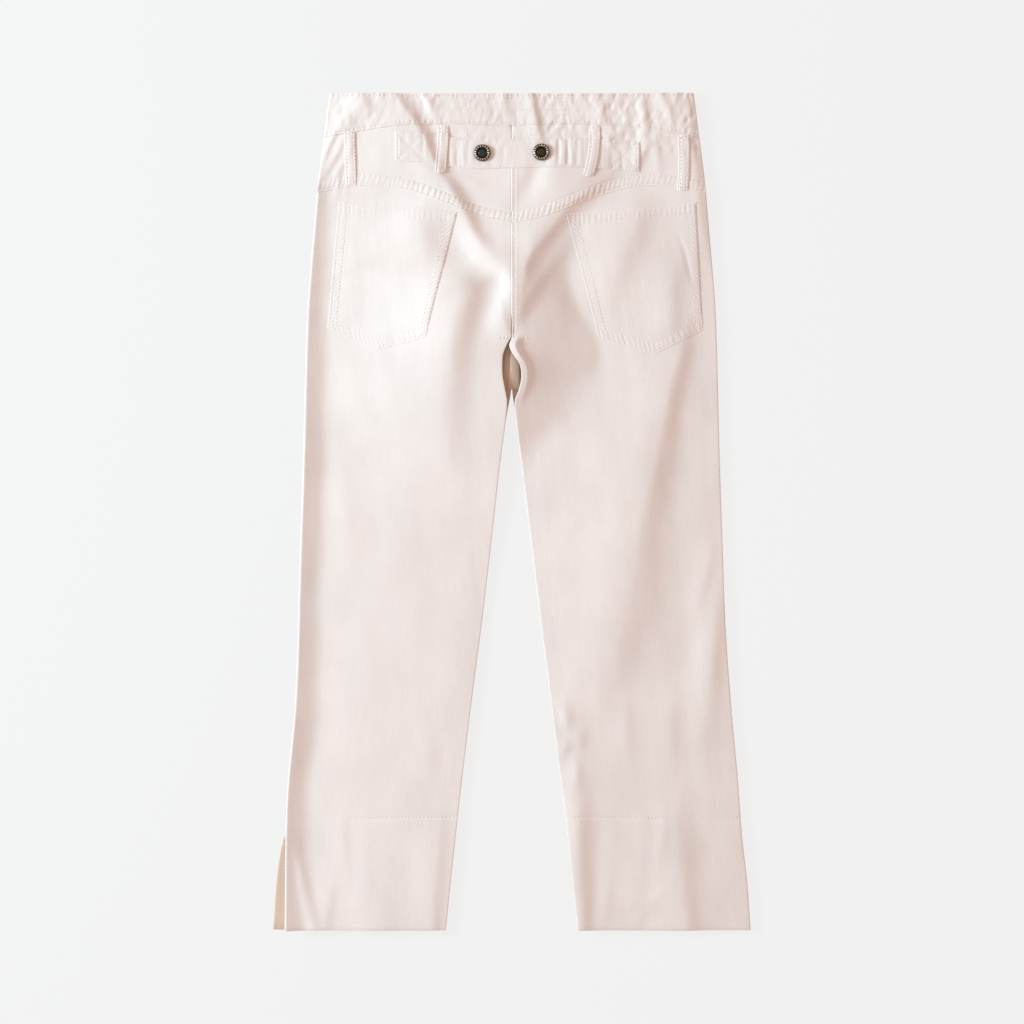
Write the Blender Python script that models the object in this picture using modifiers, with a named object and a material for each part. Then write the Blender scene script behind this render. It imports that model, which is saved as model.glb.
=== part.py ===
"""Capri trousers lying flat, front side down, built as sewn panels of cotton cloth.

Run with: blender --background --python part.py

Frame: metres, +Z up, +Y from the hems to the waist, +X towards the wearer's right. The origin is
on the resting surface, under the middle of the outline. The tables are in millimetres, with heights
counted up from the hem, and MM turns them to metres where a mesh is made.

The front panels and the front waistband are flat plates on the surface. The back panels, yokes and
waistband are one rolling layer of cloth over them, and the pockets, the tab and the loops lie on it.
"""

from collections import namedtuple

import bmesh
import bpy
import numpy as np

MM = 0.001

# Driving dimensions, in millimetres.
LENGTH = 837.2  # hem edge to waist edge
WALL = 1.2  # one layer of cloth
GAP = 0.3  # between pieces that are sewn together or lie on each other
HALF_GAP = 0.19  # half of the gap across a seam
BODY_TOP = 5.0  # outer side of the quiet back layer, above the surface
EDGE_TOP = WALL + GAP + WALL  # outer side of the back layer at the outline
EDGE_ROUND = 4.0  # the back layer rounds down over this distance
BAND_EXTRA = 0.6  # the waistband is two layers thick
HEM_DEPTH = 113.0  # turned-up hem, from the hem edge to its stitching
HEM_EXTRA = 0.5  # how far the turned-up layer raises the cloth
BACK_CROTCH = 592.0  # lower end of the centre back seam
FRONT_CROTCH = 541.0  # lower end of the centre front seam
VENT_TOP = 87.0  # upper end of the side vents
VENT_HEM_HALF_WIDTH = {-1: 239.2, 1: 231.0}  # where each front's vent edge meets the hem
LOOP_WIDTH = 11.0
TAB_WIDTH = 30.5
SNAP_RADIUS = 8.5
FRONT_DIP = 18.0  # the front waist edge is this much lower at the centre front

# The outline, hem to waist, the same on both sides.
Side = namedtuple("Side", "height half_width")
OUTLINE = (
    Side(0, 239.2),
    Side(50, 235.6),
    Side(90, 231.0),
    Side(150, 226.5),
    Side(230, 219.3),
    Side(310, 213.8),
    Side(390, 211.0),
    Side(470, 208.3),
    Side(550, 206.3),
    Side(590, 205.2),
    Side(630, 203.5),
    Side(670, 200.3),
    Side(710, 196.8),
    Side(750, 193.4),
    Side(790, 188.3),
    Side(LENGTH, 182.3),
)

# Inner leg edges, as distances from the middle, hem to crotch. The back panels part above the front
# crotch, and the right one is twisted there.
Inseam = namedtuple("Inseam", "height left right")
INSEAM = (
    Inseam(0, 66.0, 66.0),
    Inseam(70, 58.7, 58.5),
    Inseam(150, 49.8, 49.0),
    Inseam(230, 40.0, 39.0),
    Inseam(310, 29.6, 28.8),
    Inseam(390, 20.2, 19.0),
    Inseam(470, 11.2, 9.4),
    Inseam(510, 6.0, 4.4),
)
FRONT_INSEAM = INSEAM + (Inseam(FRONT_CROTCH, HALF_GAP, HALF_GAP),)
BACK_INSEAM = INSEAM + (
    Inseam(530, 4.6, 3.4),
    Inseam(541, 6.6, 7.4),
    Inseam(555, 9.0, 9.6),
    Inseam(566, 9.2, 7.4),
    Inseam(575, 8.4, 1.2),
    Inseam(584, 5.0, -2.6),
    Inseam(BACK_CROTCH, HALF_GAP, HALF_GAP),
)

# How far the left front stands out past the left back at the side, where the vent shows it.
Reveal = namedtuple("Reveal", "height width")
LEFT_REVEAL = (Reveal(0, 12.5), Reveal(50, 9.2), Reveal(90, 5.0), Reveal(230, 3.0), Reveal(330, 0.0))

# Seams across the back, by distance from the centre back seam.
Seam = namedtuple("Seam", "across height")
YOKE_SEAM = (
    Seam(0, 718),
    Seam(32, 725),
    Seam(57, 734),
    Seam(84, 745),
    Seam(116, 754),
    Seam(155, 756),
    Seam(194, 749),
)
BAND_SEAM = (Seam(0, 805), Seam(75, 806.5), Seam(110, 805), Seam(148, 800), Seam(190, 793))
FRONT_BAND_SEAM = (Seam(0, 782), Seam(90, 792), Seam(190, 793))

# The cloth swells towards the crotch: how far at the inner edge of each side, and where the right
# side's slope starts and ends, across from the middle. It ends in a crease.
Swell = namedtuple("Swell", "height left right start reach")
SWELL = (
    Swell(350, 0.0, 0.0, 0, 14),
    Swell(400, 2.0, 0.0, 0, 14),
    Swell(455, 4.5, 0.0, 0, 14),
    Swell(470, 5.5, 2.5, 0, 16),
    Swell(488, 7.0, 7.0, 0, 31),
    Swell(518, 9.5, 14.0, 0, 60),
    Swell(550, 12.0, 18.0, 0, 80),
    Swell(577, 14.5, 19.0, 0, 88),
    Swell(592, 15.0, 17.0, 0, 82),
    Swell(605, 14.5, 15.0, 0, 76),
    Swell(635, 12.0, 12.0, 0, 63),
    Swell(660, 9.5, 9.5, 6, 60),
    Swell(680, 7.5, 7.5, 15, 62),
    Swell(700, 5.5, 5.5, 28, 68),
    Swell(720, 3.8, 3.8, 44, 78),
    Swell(740, 2.2, 2.2, 60, 92),
    Swell(760, 1.0, 1.0, 80, 106),
    Swell(795, 0.0, 0.0, 100, 112),
)
SWELL_LEFT = 110.0  # the left side's slope is a bell of this width
CREASE = 3.0  # softness of the crease

# The largest folds, each a row of stations along its crest from its upper to its lower end. left and
# right are the half widths on either side of the crest, and rise is its height, negative for a hollow.
Crest = namedtuple("Crest", "x height left right rise")
# From the waist down to the left inner loop, and on from there to the crotch.
WAIST_TO_LOOP = (
    Crest(-136, 852, 40, 8, 2.6),
    Crest(-112, 826, 46, 8, 4.0),
    Crest(-99, 808, 50, 8, 4.8),
    Crest(-90, 793, 54, 8, 4.6),
    Crest(-83, 778, 60, 7, 3.6),
    Crest(-78, 764, 66, 7, 2.0),
    Crest(-74, 752, 70, 7, 0.0),
)
LOOP_TO_CROTCH = (
    Crest(-84, 776, 64, 9, 0.0),
    Crest(-76, 760, 70, 9, 2.8),
    Crest(-62, 739, 80, 10, 5.8),
    Crest(-50, 716, 80, 10, 6.6),
    Crest(-41, 695, 60, 10, 5.8),
    Crest(-30, 677, 40, 14, 4.4),
    Crest(-17, 664, 26, 24, 3.4),
    Crest(-7, 652, 18, 24, 3.0),
    Crest(-3, 636, 13, 18, 2.4),
    Crest(-1, 620, 8, 12, 1.4),
    Crest(0, 606, 7, 9, 0.0),
)
# The hollow below it, and the one inside the left thigh.
LEFT_DENT = (
    Crest(-62, 716, 16, 6, 0.0),
    Crest(-57, 690, 17, 7, -2.4),
    Crest(-48, 668, 18, 8, -4.0),
    Crest(-31, 656, 18, 7, -4.2),
    Crest(-15, 648, 14, 6, -3.0),
    Crest(-6, 642, 10, 6, 0.0),
)
LEFT_THIGH = (
    Crest(-8, 656, 14, 14, 0.0),
    Crest(-18, 632, 14, 26, -4.0),
    Crest(-27, 604, 19, 34, -5.4),
    Crest(-34, 574, 23, 38, -5.2),
    Crest(-40, 542, 21, 40, -4.4),
    Crest(-45, 507, 17, 42, -3.2),
    Crest(-50, 470, 13, 44, -1.6),
    Crest(-54, 440, 12, 44, 0.0),
)
# Two folds from the right hip to the crotch.
RIGHT_SEAT = (
    Crest(108, 766, 40, 9, 0.0),
    Crest(92, 753, 50, 9, 1.8),
    Crest(74, 741, 60, 9, 3.2),
    Crest(54, 723, 64, 9, 4.0),
    Crest(41, 707, 64, 9, 3.8),
    Crest(27, 689, 60, 9, 3.4),
    Crest(16, 675, 50, 9, 2.6),
    Crest(10, 662, 36, 9, 1.4),
    Crest(7, 646, 24, 8, 0.0),
)
RIGHT_SEAT_LOW = (
    Crest(54, 700, 40, 9, 0.0),
    Crest(46, 682, 46, 9, 1.0),
    Crest(35, 664, 46, 9, 1.8),
    Crest(24, 649, 44, 9, 2.4),
    Crest(15, 635, 34, 9, 2.8),
    Crest(8, 621, 20, 9, 2.4),
    Crest(3, 606, 10, 7, 0.0),
)
# A hollow below the tab.
BELOW_TAB = (
    Crest(30, 772, 10, 10, 0.0),
    Crest(25, 757, 10, 11, -2.2),
    Crest(17, 741, 10, 11, -1.9),
    Crest(9, 728, 9, 10, -0.8),
    Crest(3, 718, 8, 9, 0.0),
)
# Across the right pocket, and past its outer corner.
RIGHT_POCKET = (
    Crest(132, 742, 34, 16, 0.0),
    Crest(125, 716, 38, 17, 2.8),
    Crest(114, 690, 40, 19, 3.6),
    Crest(105, 665, 38, 19, 3.2),
    Crest(98, 642, 34, 18, 2.2),
    Crest(91, 618, 30, 16, 0.0),
)
POCKET_CORNER = (
    Crest(164, 682, 24, 12, 0.0),
    Crest(160, 660, 26, 13, 1.8),
    Crest(157, 630, 26, 12, 2.2),
    Crest(157, 604, 20, 11, 1.6),
    Crest(158, 585, 16, 10, 0.0),
)
# Outside the right thigh and across the knee, and a bright rise beside the knee.
RIGHT_THIGH = (
    Crest(176, 618, 40, 8, 0.0),
    Crest(169, 592, 50, 10, 3.2),
    Crest(160, 562, 60, 12, 5.4),
    Crest(153, 532, 60, 13, 6.4),
    Crest(148, 500, 60, 14, 6.6),
    Crest(143, 468, 60, 15, 6.4),
    Crest(136, 438, 60, 17, 6.0),
    Crest(128, 408, 60, 22, 5.8),
    Crest(120, 376, 60, 27, 6.0),
    Crest(112, 340, 60, 31, 6.2),
    Crest(103, 302, 55, 33, 5.8),
    Crest(92, 266, 45, 32, 4.2),
    Crest(76, 232, 34, 28, 2.0),
    Crest(64, 205, 26, 24, 0.0),
)
KNEE_EDGE = (
    Crest(204, 350, 14, 10, 0.0),
    Crest(202, 305, 16, 10, 1.8),
    Crest(197, 250, 17, 12, 2.4),
    Crest(190, 200, 16, 14, 1.4),
    Crest(186, 160, 14, 14, 0.0),
)
# Down the right side of the seat.
RIGHT_SIDE = (
    Crest(172, 852, 40, 10, 2.2),
    Crest(174, 820, 40, 10, 3.0),
    Crest(177, 790, 40, 10, 3.0),
    Crest(182, 755, 36, 10, 2.8),
    Crest(186, 720, 30, 9, 2.4),
    Crest(191, 686, 24, 8, 1.4),
    Crest(195, 655, 20, 8, 0.0),
)
# Folds of the right hem.
RIGHT_HEM_INNER = (
    Crest(60, 176, 16, 12, 0.0),
    Crest(64, 146, 16, 14, 2.4),
    Crest(65, 112, 18, 14, 4.6),
    Crest(65, 80, 18, 14, 5.0),
    Crest(66, 48, 18, 13, 4.8),
    Crest(68, 18, 18, 12, 4.4),
    Crest(69, -12, 18, 12, 4.4),
)
RIGHT_HEM_OUTER = (
    Crest(166, 134, 22, 8, 0.0),
    Crest(163, 108, 26, 12, 2.0),
    Crest(166, 78, 30, 14, 3.0),
    Crest(169, 48, 32, 14, 3.4),
    Crest(173, 20, 32, 13, 3.8),
    Crest(175, -12, 32, 12, 4.4),
)
LEFT_HEM = (
    Crest(-126, 88, 34, 24, 0.0),
    Crest(-130, 50, 34, 24, 1.4),
    Crest(-132, 12, 34, 26, 2.2),
    Crest(-134, -12, 34, 26, 2.4),
)
WAIST_LEFT = (
    Crest(-150, 852, 9, 7, 1.6),
    Crest(-158, 822, 9, 7, 2.2),
    Crest(-168, 806, 9, 7, 2.4),
    Crest(-178, 794, 9, 7, 0.0),
)
WAIST_RIGHT = (
    Crest(130, 852, 9, 7, 1.0),
    Crest(131, 830, 9, 7, 1.2),
    Crest(134, 798, 9, 7, 1.8),
    Crest(127, 772, 9, 7, 2.0),
    Crest(121, 760, 9, 7, 0.0),
)
FOLDS = (
    WAIST_TO_LOOP,
    LOOP_TO_CROTCH,
    LEFT_DENT,
    LEFT_THIGH,
    RIGHT_SEAT,
    RIGHT_SEAT_LOW,
    BELOW_TAB,
    RIGHT_POCKET,
    POCKET_CORNER,
    RIGHT_THIGH,
    KNEE_EDGE,
    RIGHT_SIDE,
    RIGHT_HEM_INNER,
    RIGHT_HEM_OUTER,
    LEFT_HEM,
    WAIST_LEFT,
    WAIST_RIGHT,
)
TRACE_STEP = 3.0  # spacing of the points that a crest is followed by

# The left side seam stands up as a rim along its edge.
RIM_RISE = 3.4
RIM_FLAT = 1.5
RIM_WIDTH = 11.0
RIM_TOP = 770.0

# The right inseam stands up beside the crotch in a narrow ridge.
RIDGE_RISE = 5.0
RIDGE_INSET = 2.8
RIDGE_WIDTH = 6.0

# Small gathers of the waistband, which fade below its seam.
GATHER_PITCH = 14.0
GATHER_RISE = 0.7
GATHER_FADE = 34.0

# Corners of the back pockets.
Pocket = namedtuple("Pocket", "name side inner_top outer_top outer_bottom tip inner_bottom")
POCKETS = (
    Pocket("pocket_left", -1, (-54.3, 717.3), (-172.8, 729.3), (-183.8, 602.3), (-133.8, 580.3),
           (-85.8, 592.3)),
    Pocket("pocket_right", 1, (55.0, 715.3), (184.3, 727.8), (191.3, 600.3), (143.3, 576.3),
           (87.8, 591.3)),
)  # fmt: skip
POCKET_TOP_BOW = 4.0  # the pocket's mouth is a little higher at its middle

# The adjusting tab's middle line, and the belt loops, each from its upper to its lower end.
Station = namedtuple("Station", "x height")
TAB_LINE = (
    Station(-116.5, 784.0),
    Station(-74, 781.5),
    Station(-56, 777.8),
    Station(0, 777.3),
    Station(72, 777.8),
    Station(96, 776.0),
    Station(128, 773.5),
)
Loop = namedtuple("Loop", "name x0 h0 x1 h1 bend")
LOOPS = (
    Loop("belt_loop_left_outer", -162.0, 799.0, -160.8, 746.0, 0.0),
    Loop("belt_loop_left_inner", -68.3, 805.0, -71.2, 757.0, 0.5),
    Loop("belt_loop_right_inner", 82.6, 805.0, 76.6, 754.0, 1.5),
    Loop("belt_loop_right_outer", 171.5, 795.0, 170.6, 740.0, 1.0),
)
SNAPS = (("snap_left", -29.5, 777.2), ("snap_right", 29.5, 777.8))

# Half the profile of a snap cap, from the middle of its top down to the middle of its base.
SNAP_PROFILE = ((0, 2.3), (3.2, 2.1), (4.6, 1.6), (5.4, 2.7), (7.4, 2.7), (8.5, 1.7), (8.5, 0.4),
                (7.8, 0), (0, 0))  # fmt: skip
SNAP_STEPS = 24

# How finely the pieces are divided.
EDGE_SHARES = (0, 0.012, 0.036, 0.075, 0.13)  # columns near a rounded edge
MIDDLE_COLUMNS = 17
FRONT_STEPS = 16
SEAT_ROW = 10.0  # row spacing down to the thigh
LEG_ROW = 23.0  # row spacing below
THIGH_HEIGHT = 480.0
YOKE_COLUMNS = 36
YOKE_ROWS = 6
BAND_ROWS = 4
TAB_COLUMNS = 34
TAB_ROWS = np.linspace(-0.5, 0.5, 4)
LOOP_ROWS = 9


def read(table, column, at):
    """A smooth curve (cubic Hermite) through a column's values, level beyond the table's ends."""
    place = np.array([row[0] for row in table], float)
    value = np.array([getattr(row, column) for row in table], float)
    slope = np.gradient(value, place)
    low = np.clip(np.searchsorted(place, at) - 1, 0, len(place) - 2)
    step = place[low + 1] - place[low]
    t = np.clip((at - place[low]) / step, 0, 1)
    ends = value[low] * (1 + 2 * t) * (1 - t) ** 2 + value[low + 1] * (3 - 2 * t) * t**2
    bends = slope[low] * t * (1 - t) ** 2 - slope[low + 1] * (1 - t) * t**2
    return ends + step * bends


def smooth(share):
    """0 to 1 with a level start and end."""
    share = np.clip(share, 0.0, 1.0)
    return share * share * (3 - 2 * share)


def rounded(distance):
    """A quarter of an ellipse: 0 at an edge, 1 from EDGE_ROUND inwards."""
    return np.sqrt(1 - (1 - np.clip(distance / EDGE_ROUND, 0, 1)) ** 2)


def trace(fold):
    """A fold's crest as closely spaced points: a smooth curve through its stations by path length."""
    table = np.array(fold, float)
    at = np.concatenate([[0], np.cumsum(np.hypot(*np.diff(table[:, :2], axis=0).T))])
    fine = np.linspace(0, at[-1], max(4, round(at[-1] / TRACE_STEP)))
    Row = namedtuple("Row", ("at",) + fold[0]._fields)
    rows = [Row(place, *row) for place, row in zip(at, table)]
    return fine, {name: read(rows, name, fine) for name in fold[0]._fields}


def fold_height(fold, x, height):
    """A fold's rise: a bell across its crest, its width and height read where the crest is nearest."""
    rise = np.zeros(x.shape)
    fine, crest = trace(fold)
    reach = 2.4 * max(crest["left"].max(), crest["right"].max())
    near = (x > crest["x"].min() - reach) & (x < crest["x"].max() + reach)
    near &= (height > crest["height"].min() - reach) & (height < crest["height"].max() + reach)
    if not near.any():
        return rise
    px, ph = x[near][:, None], height[near][:, None]
    start_x, start_h = crest["x"][:-1], crest["height"][:-1]
    step_x, step_h = np.diff(crest["x"]), np.diff(crest["height"])
    share = ((px - start_x) * step_x + (ph - start_h) * step_h) / (step_x**2 + step_h**2)
    share = np.clip(share, 0, 1)
    off_x, off_h = px - start_x - share * step_x, ph - start_h - share * step_h
    apart = off_x**2 + off_h**2
    nearest = np.argmin(apart, axis=1)
    row = np.arange(len(nearest))
    at_side = off_h[row, nearest] * step_x[nearest] - off_x[row, nearest] * step_h[nearest]
    shortest = apart[row, nearest]
    weight = np.exp((shortest[:, None] - apart) / 60.0)
    place = (weight * (fine[:-1] + share * np.diff(fine))).sum(axis=1) / weight.sum(axis=1)
    left, right = (np.interp(place, fine, crest[name]) for name in ("left", "right"))
    width = np.where(at_side > 0, right, left)
    bell = np.exp(-shortest / width**2)
    rise[near] = np.interp(place, fine, crest["rise"]) * bell
    return rise


def swell(x, height, side):
    """The swell over the seat: a bell on the left, and on the right an even slope down to a crease."""
    bell = read(SWELL, "left", height) * np.exp(-((x / SWELL_LEFT) ** 2))
    start, reach = (np.interp(height, *zip(*[(row.height, getattr(row, name)) for row in SWELL]))
                    for name in ("start", "reach"))  # fmt: skip
    from_reach = CREASE * np.logaddexp(0, (reach - x) / CREASE)
    from_start = CREASE * np.logaddexp(0, (start - x) / CREASE)
    slope = (from_reach - from_start) / (reach - start)
    return np.where(side < 0, bell, read(SWELL, "right", height) * slope)


def gathers(x, height):
    """Uneven small waves of the waistband, which fade out below its seam."""
    wave = np.sin(2 * np.pi * x / GATHER_PITCH + 2.2 * np.sin(x / 37.0))
    uneven = 0.65 + 0.35 * np.sin(x / 23.0 + 1.0)
    below = read(BAND_SEAM, "height", np.abs(x)) - height
    return GATHER_RISE * wave * uneven * smooth(1 - below / GATHER_FADE)


def back_inner_edge(height, side):
    """The inner edge of a back panel: the centre back seam, and below it the inseam."""
    left, right = read(BACK_INSEAM, "left", height), read(BACK_INSEAM, "right", height)
    return side * np.where(side < 0, left, right)


def back_outer_edge(height, side):
    """The outer edge of a back panel. The left one stops short of the outline, near the hem."""
    reveal = np.where(side < 0, read(LEFT_REVEAL, "width", height), 0.0)
    return side * (read(OUTLINE, "half_width", height) - reveal)


def seam_ridges(x, height, side):
    """The rim along the left side seam, and the ridge beside the crotch on the right inseam."""
    inwards = (back_outer_edge(height, side) - x) * side
    rim = np.exp(-((np.maximum(inwards - RIM_FLAT, 0) / RIM_WIDTH) ** 2)) * smooth((RIM_TOP - height) / 40)
    outwards = (x - back_inner_edge(height, side)) * side
    ridge = np.exp(-(((outwards - RIDGE_INSET) / RIDGE_WIDTH) ** 2))
    ridge = ridge * smooth((BACK_CROTCH - height) / 14) * smooth((height - 490) / 60)
    return np.where(side < 0, RIM_RISE * rim, RIDGE_RISE * ridge)


def cloth_top(x, height, side):
    """The outer side of the back layer above the surface, in millimetres."""
    x, height = np.broadcast_arrays(np.asarray(x, float), np.asarray(height, float))
    quiet = BODY_TOP + swell(x, height, side) + sum(fold_height(fold, x, height) for fold in FOLDS)
    quiet = quiet + gathers(x, height) + seam_ridges(x, height, side)
    quiet = quiet + HEM_EXTRA * smooth((HEM_DEPTH - height) / 4)
    outer = rounded((back_outer_edge(height, side) - x) * side)
    at_leg = smooth((BACK_CROTCH + 25 - height) / 40)
    inner = 1 - at_leg * (1 - rounded((x - back_inner_edge(height, side)) * side))
    return EDGE_TOP + np.maximum(quiet - EDGE_TOP, 0) * outer * inner


def stack_top(x, height, reach):
    """The highest point of the back layer within reach, which is what a stiff strap rests on."""
    steps = np.linspace(-reach, reach, 5)
    side = np.where(x < 0, -1, 1)
    tops = [cloth_top(x + dx, height + dh, side) for dx in steps for dh in steps]
    return np.max(tops, axis=0)


def material(name, colour, roughness, metallic=0.0):
    """A Principled material of one colour."""
    made = bpy.data.materials.new(name)
    made.use_nodes = True
    shader = made.node_tree.nodes["Principled BSDF"]
    shader.inputs["Base Color"].default_value = (*colour, 1)
    shader.inputs["Roughness"].default_value = roughness
    shader.inputs["Metallic"].default_value = metallic
    return made


def new_collection(name):
    made = bpy.data.collections.new(name)
    bpy.context.scene.collection.children.link(made)
    return made


def add_object(name, data, collection, finish=None):
    """Puts a mesh or a curve into the scene as a named object."""
    made = bpy.data.objects.new(name, data)
    collection.objects.link(made)
    if finish:
        data.materials.append(finish)
    return made


def cloth_sheet(name, x, height, top, collection, finish=None):
    """An open sheet through a grid of points, whose faces point up."""
    rows, columns = x.shape
    points = np.stack([x, height - LENGTH / 2, top], axis=-1).reshape(-1, 3) * MM
    corner = np.arange(rows * columns).reshape(rows, columns)
    quads = np.stack([corner[:-1, :-1], corner[:-1, 1:], corner[1:, 1:], corner[1:, :-1]], axis=-1)
    mesh = bpy.data.meshes.new(name)
    mesh.from_pydata(points.tolist(), [], quads.reshape(-1, 4).tolist())
    made = add_object(name, mesh, collection, finish)
    sheet = bmesh.new()
    sheet.from_mesh(mesh)
    if sum(face.normal.z for face in sheet.faces) < 0:
        bmesh.ops.reverse_faces(sheet, faces=sheet.faces)
    bmesh.ops.triangulate(sheet, faces=sheet.faces, quad_method="FIXED")
    for face in sheet.faces:
        face.smooth = True
    sheet.to_mesh(mesh)
    sheet.free()
    return made


def thicken(sheet, outwards=False, wall=WALL):
    """Gives a sheet its wall, inwards from the outer side or outwards from the inner one."""
    shell = sheet.modifiers.new("wall", "SOLIDIFY")
    shell.thickness = wall * MM
    shell.offset = 1 if outwards else -1
    return sheet


def plate(name, outline, bottom, top, collection, finish=None):
    """A flat piece: a filled 2D curve, extruded from bottom to top."""
    curve = bpy.data.curves.new(name, "CURVE")
    curve.dimensions = "2D"
    curve.fill_mode = "BOTH"
    curve.extrude = (top - bottom) / 2 * MM
    spline = curve.splines.new("POLY")
    spline.points.add(len(outline) - 1)
    for point, (x, height) in zip(spline.points, outline):
        point.co = (x * MM, (height - LENGTH / 2) * MM, 0, 1)
    spline.use_cyclic_u = True
    made = add_object(name, curve, collection, finish)
    made.location.z = (bottom + top) / 2 * MM
    return made


def cutter_from(source, collection):
    """A closed mesh copy of a plate, to cut with. The plate is removed."""
    bpy.context.view_layer.update()
    graph = bpy.context.evaluated_depsgraph_get()
    mesh = bpy.data.meshes.new_from_object(source.evaluated_get(graph))
    solid = bmesh.new()
    solid.from_mesh(mesh)
    bmesh.ops.remove_doubles(solid, verts=solid.verts, dist=1e-5)
    bmesh.ops.recalc_face_normals(solid, faces=solid.faces)
    solid.to_mesh(mesh)
    solid.free()
    cutter = add_object(source.name + "_outline", mesh, collection)
    cutter.matrix_world = source.matrix_world
    cutter.hide_render = True
    cutter.display_type = "WIRE"
    bpy.data.objects.remove(source)
    return cutter


def front_edge(side):
    """A front panel's outline: up the centre or inseam from the hem, and down the outer side."""
    column = "left" if side < 0 else "right"
    inner = [(side * getattr(row, column), row.height) for row in FRONT_INSEAM]
    seam = [(side * max(row.across, HALF_GAP), row.height - HALF_GAP) for row in FRONT_BAND_SEAM[:-1]]
    top = FRONT_BAND_SEAM[-1].height - HALF_GAP
    down = np.linspace(top, VENT_TOP, FRONT_STEPS)
    outer = [(side * float(read(OUTLINE, "half_width", height)), height) for height in down]
    vent = VENT_HEM_HALF_WIDTH[side], 0.0
    return inner + seam + outer + [(side * vent[0], vent[1])]


def front_band_edge(side):
    """A front waistband half: its seam, the side, and the dipped waist edge."""
    seam = [(side * max(row.across, HALF_GAP), row.height + HALF_GAP) for row in FRONT_BAND_SEAM[:-1]]
    seam_height = FRONT_BAND_SEAM[-1].height + HALF_GAP
    corner = (side * float(read(OUTLINE, "half_width", seam_height)), seam_height)
    waist = [(side * OUTLINE[-1].half_width, LENGTH), (side * 90, LENGTH - 0.4 * FRONT_DIP)]
    return seam + [corner] + waist + [(side * HALF_GAP, LENGTH - FRONT_DIP)]


def panel_shares():
    """Columns across a back panel, from its inner edge at 0 to its outer edge at 1."""
    near = np.array(EDGE_SHARES)
    middle = np.linspace(near[-1], 1 - near[-1], MIDDLE_COLUMNS)
    return np.concatenate([near[:-1], middle, 1 - near[-2::-1]])


def back_panel_grid(side):
    """Grid of a back panel: columns from its inner to its outer edge, rows from yoke seam to hem."""
    share = panel_shares()[None, :]
    seat_rows = np.arange(0, YOKE_SEAM[0].height - THIGH_HEIGHT, SEAT_ROW)
    leg_rows = np.linspace(YOKE_SEAM[0].height - THIGH_HEIGHT, YOKE_SEAM[0].height,
                           round(THIGH_HEIGHT / LEG_ROW) + 1)  # fmt: skip
    down = (np.concatenate([seat_rows, leg_rows]) / YOKE_SEAM[0].height)[:, None]
    height = (read(YOKE_SEAM, "height", share * YOKE_SEAM[-1].across) - HALF_GAP) * (1 - down)
    inner, outer = back_inner_edge(height, side), back_outer_edge(height, side)
    return inner + (outer - inner) * share, height


def yoke_shares():
    """Columns across a yoke half, closer together at the side, where the cloth rounds down."""
    return np.linspace(0, 1, YOKE_COLUMNS + 1) ** 0.85


def yoke_grid(side):
    """Grid of a yoke half: columns from centre back to the side, rows from yoke to band seam."""
    share = yoke_shares()[None, :]
    up = np.linspace(0, 1, YOKE_ROWS + 1)[:, None]
    low = read(YOKE_SEAM, "height", share * YOKE_SEAM[-1].across) + HALF_GAP
    high = read(BAND_SEAM, "height", share * BAND_SEAM[-1].across) - HALF_GAP
    height = low + (high - low) * up
    outer = read(OUTLINE, "half_width", height)
    return side * (HALF_GAP + (outer - HALF_GAP) * share), height


def waistband_grid():
    """Grid of the back waistband: columns from side to side, rows from its seam to the waist."""
    share = np.concatenate([-yoke_shares()[:0:-1], yoke_shares()])[None, :]
    up = np.linspace(0, 1, BAND_ROWS + 1)[:, None]
    low = read(BAND_SEAM, "height", np.abs(share) * BAND_SEAM[-1].across) + HALF_GAP
    height = low + (LENGTH - low) * up
    return share * read(OUTLINE, "half_width", height), height


def make_back(collection, cloth):
    """The rolling back layer: two panels, two yoke halves and the waistband."""
    for name, side in (("left", -1), ("right", 1)):
        for piece, grid in (("back_", back_panel_grid), ("yoke_", yoke_grid)):
            x, height = grid(side)
            sheet = cloth_sheet(piece + name, x, height, cloth_top(x, height, side), collection, cloth)
            thicken(sheet)
    x, height = waistband_grid()
    top = cloth_top(x, height, np.where(x < 0, -1, 1)) + BAND_EXTRA
    thicken(cloth_sheet("waistband_back", x, height, top, collection, cloth), wall=WALL + BAND_EXTRA)


def make_front(collection, cloth):
    """The hidden front: two leg panels and two waistband halves, flat on the surface."""
    for name, side in (("left", -1), ("right", 1)):
        plate("front_" + name, front_edge(side), 0, WALL, collection, cloth)
        plate("waistband_front_" + name, front_band_edge(side), 0, WALL, collection, cloth)


def make_pockets(collection, cutters, cloth):
    """Patch pockets, each the back panel's own sheet moved out and cut to the pocket's outline."""
    for pocket in POCKETS:
        x, height = back_panel_grid(pocket.side)
        top = cloth_top(x, height, pocket.side) + GAP
        sheet = cloth_sheet(pocket.name, x, height, top, collection, cloth)
        thicken(sheet, outwards=True)
        middle = tuple((np.array(pocket.inner_top) + pocket.outer_top) / 2 + (0, POCKET_TOP_BOW))
        outline = (pocket.inner_top, middle) + pocket[3:]
        cutter = cutter_from(plate(pocket.name + "_cut", outline, 0, 60, cutters), cutters)
        cut = sheet.modifiers.new("outline", "BOOLEAN")
        cut.operation = "INTERSECT"
        cut.object = cutter


def tab_grid():
    """Grid of the tab's inner side: columns along it, rows across it, and the height of each point."""
    x = np.linspace(TAB_LINE[0].x, TAB_LINE[-1].x, TAB_COLUMNS)[None, :]
    across = TAB_ROWS[:, None] * TAB_WIDTH
    x, height = np.broadcast_arrays(x, read(TAB_LINE, "height", x) + across)
    return x, height, stack_top(x, height, 6.0) + GAP


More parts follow.
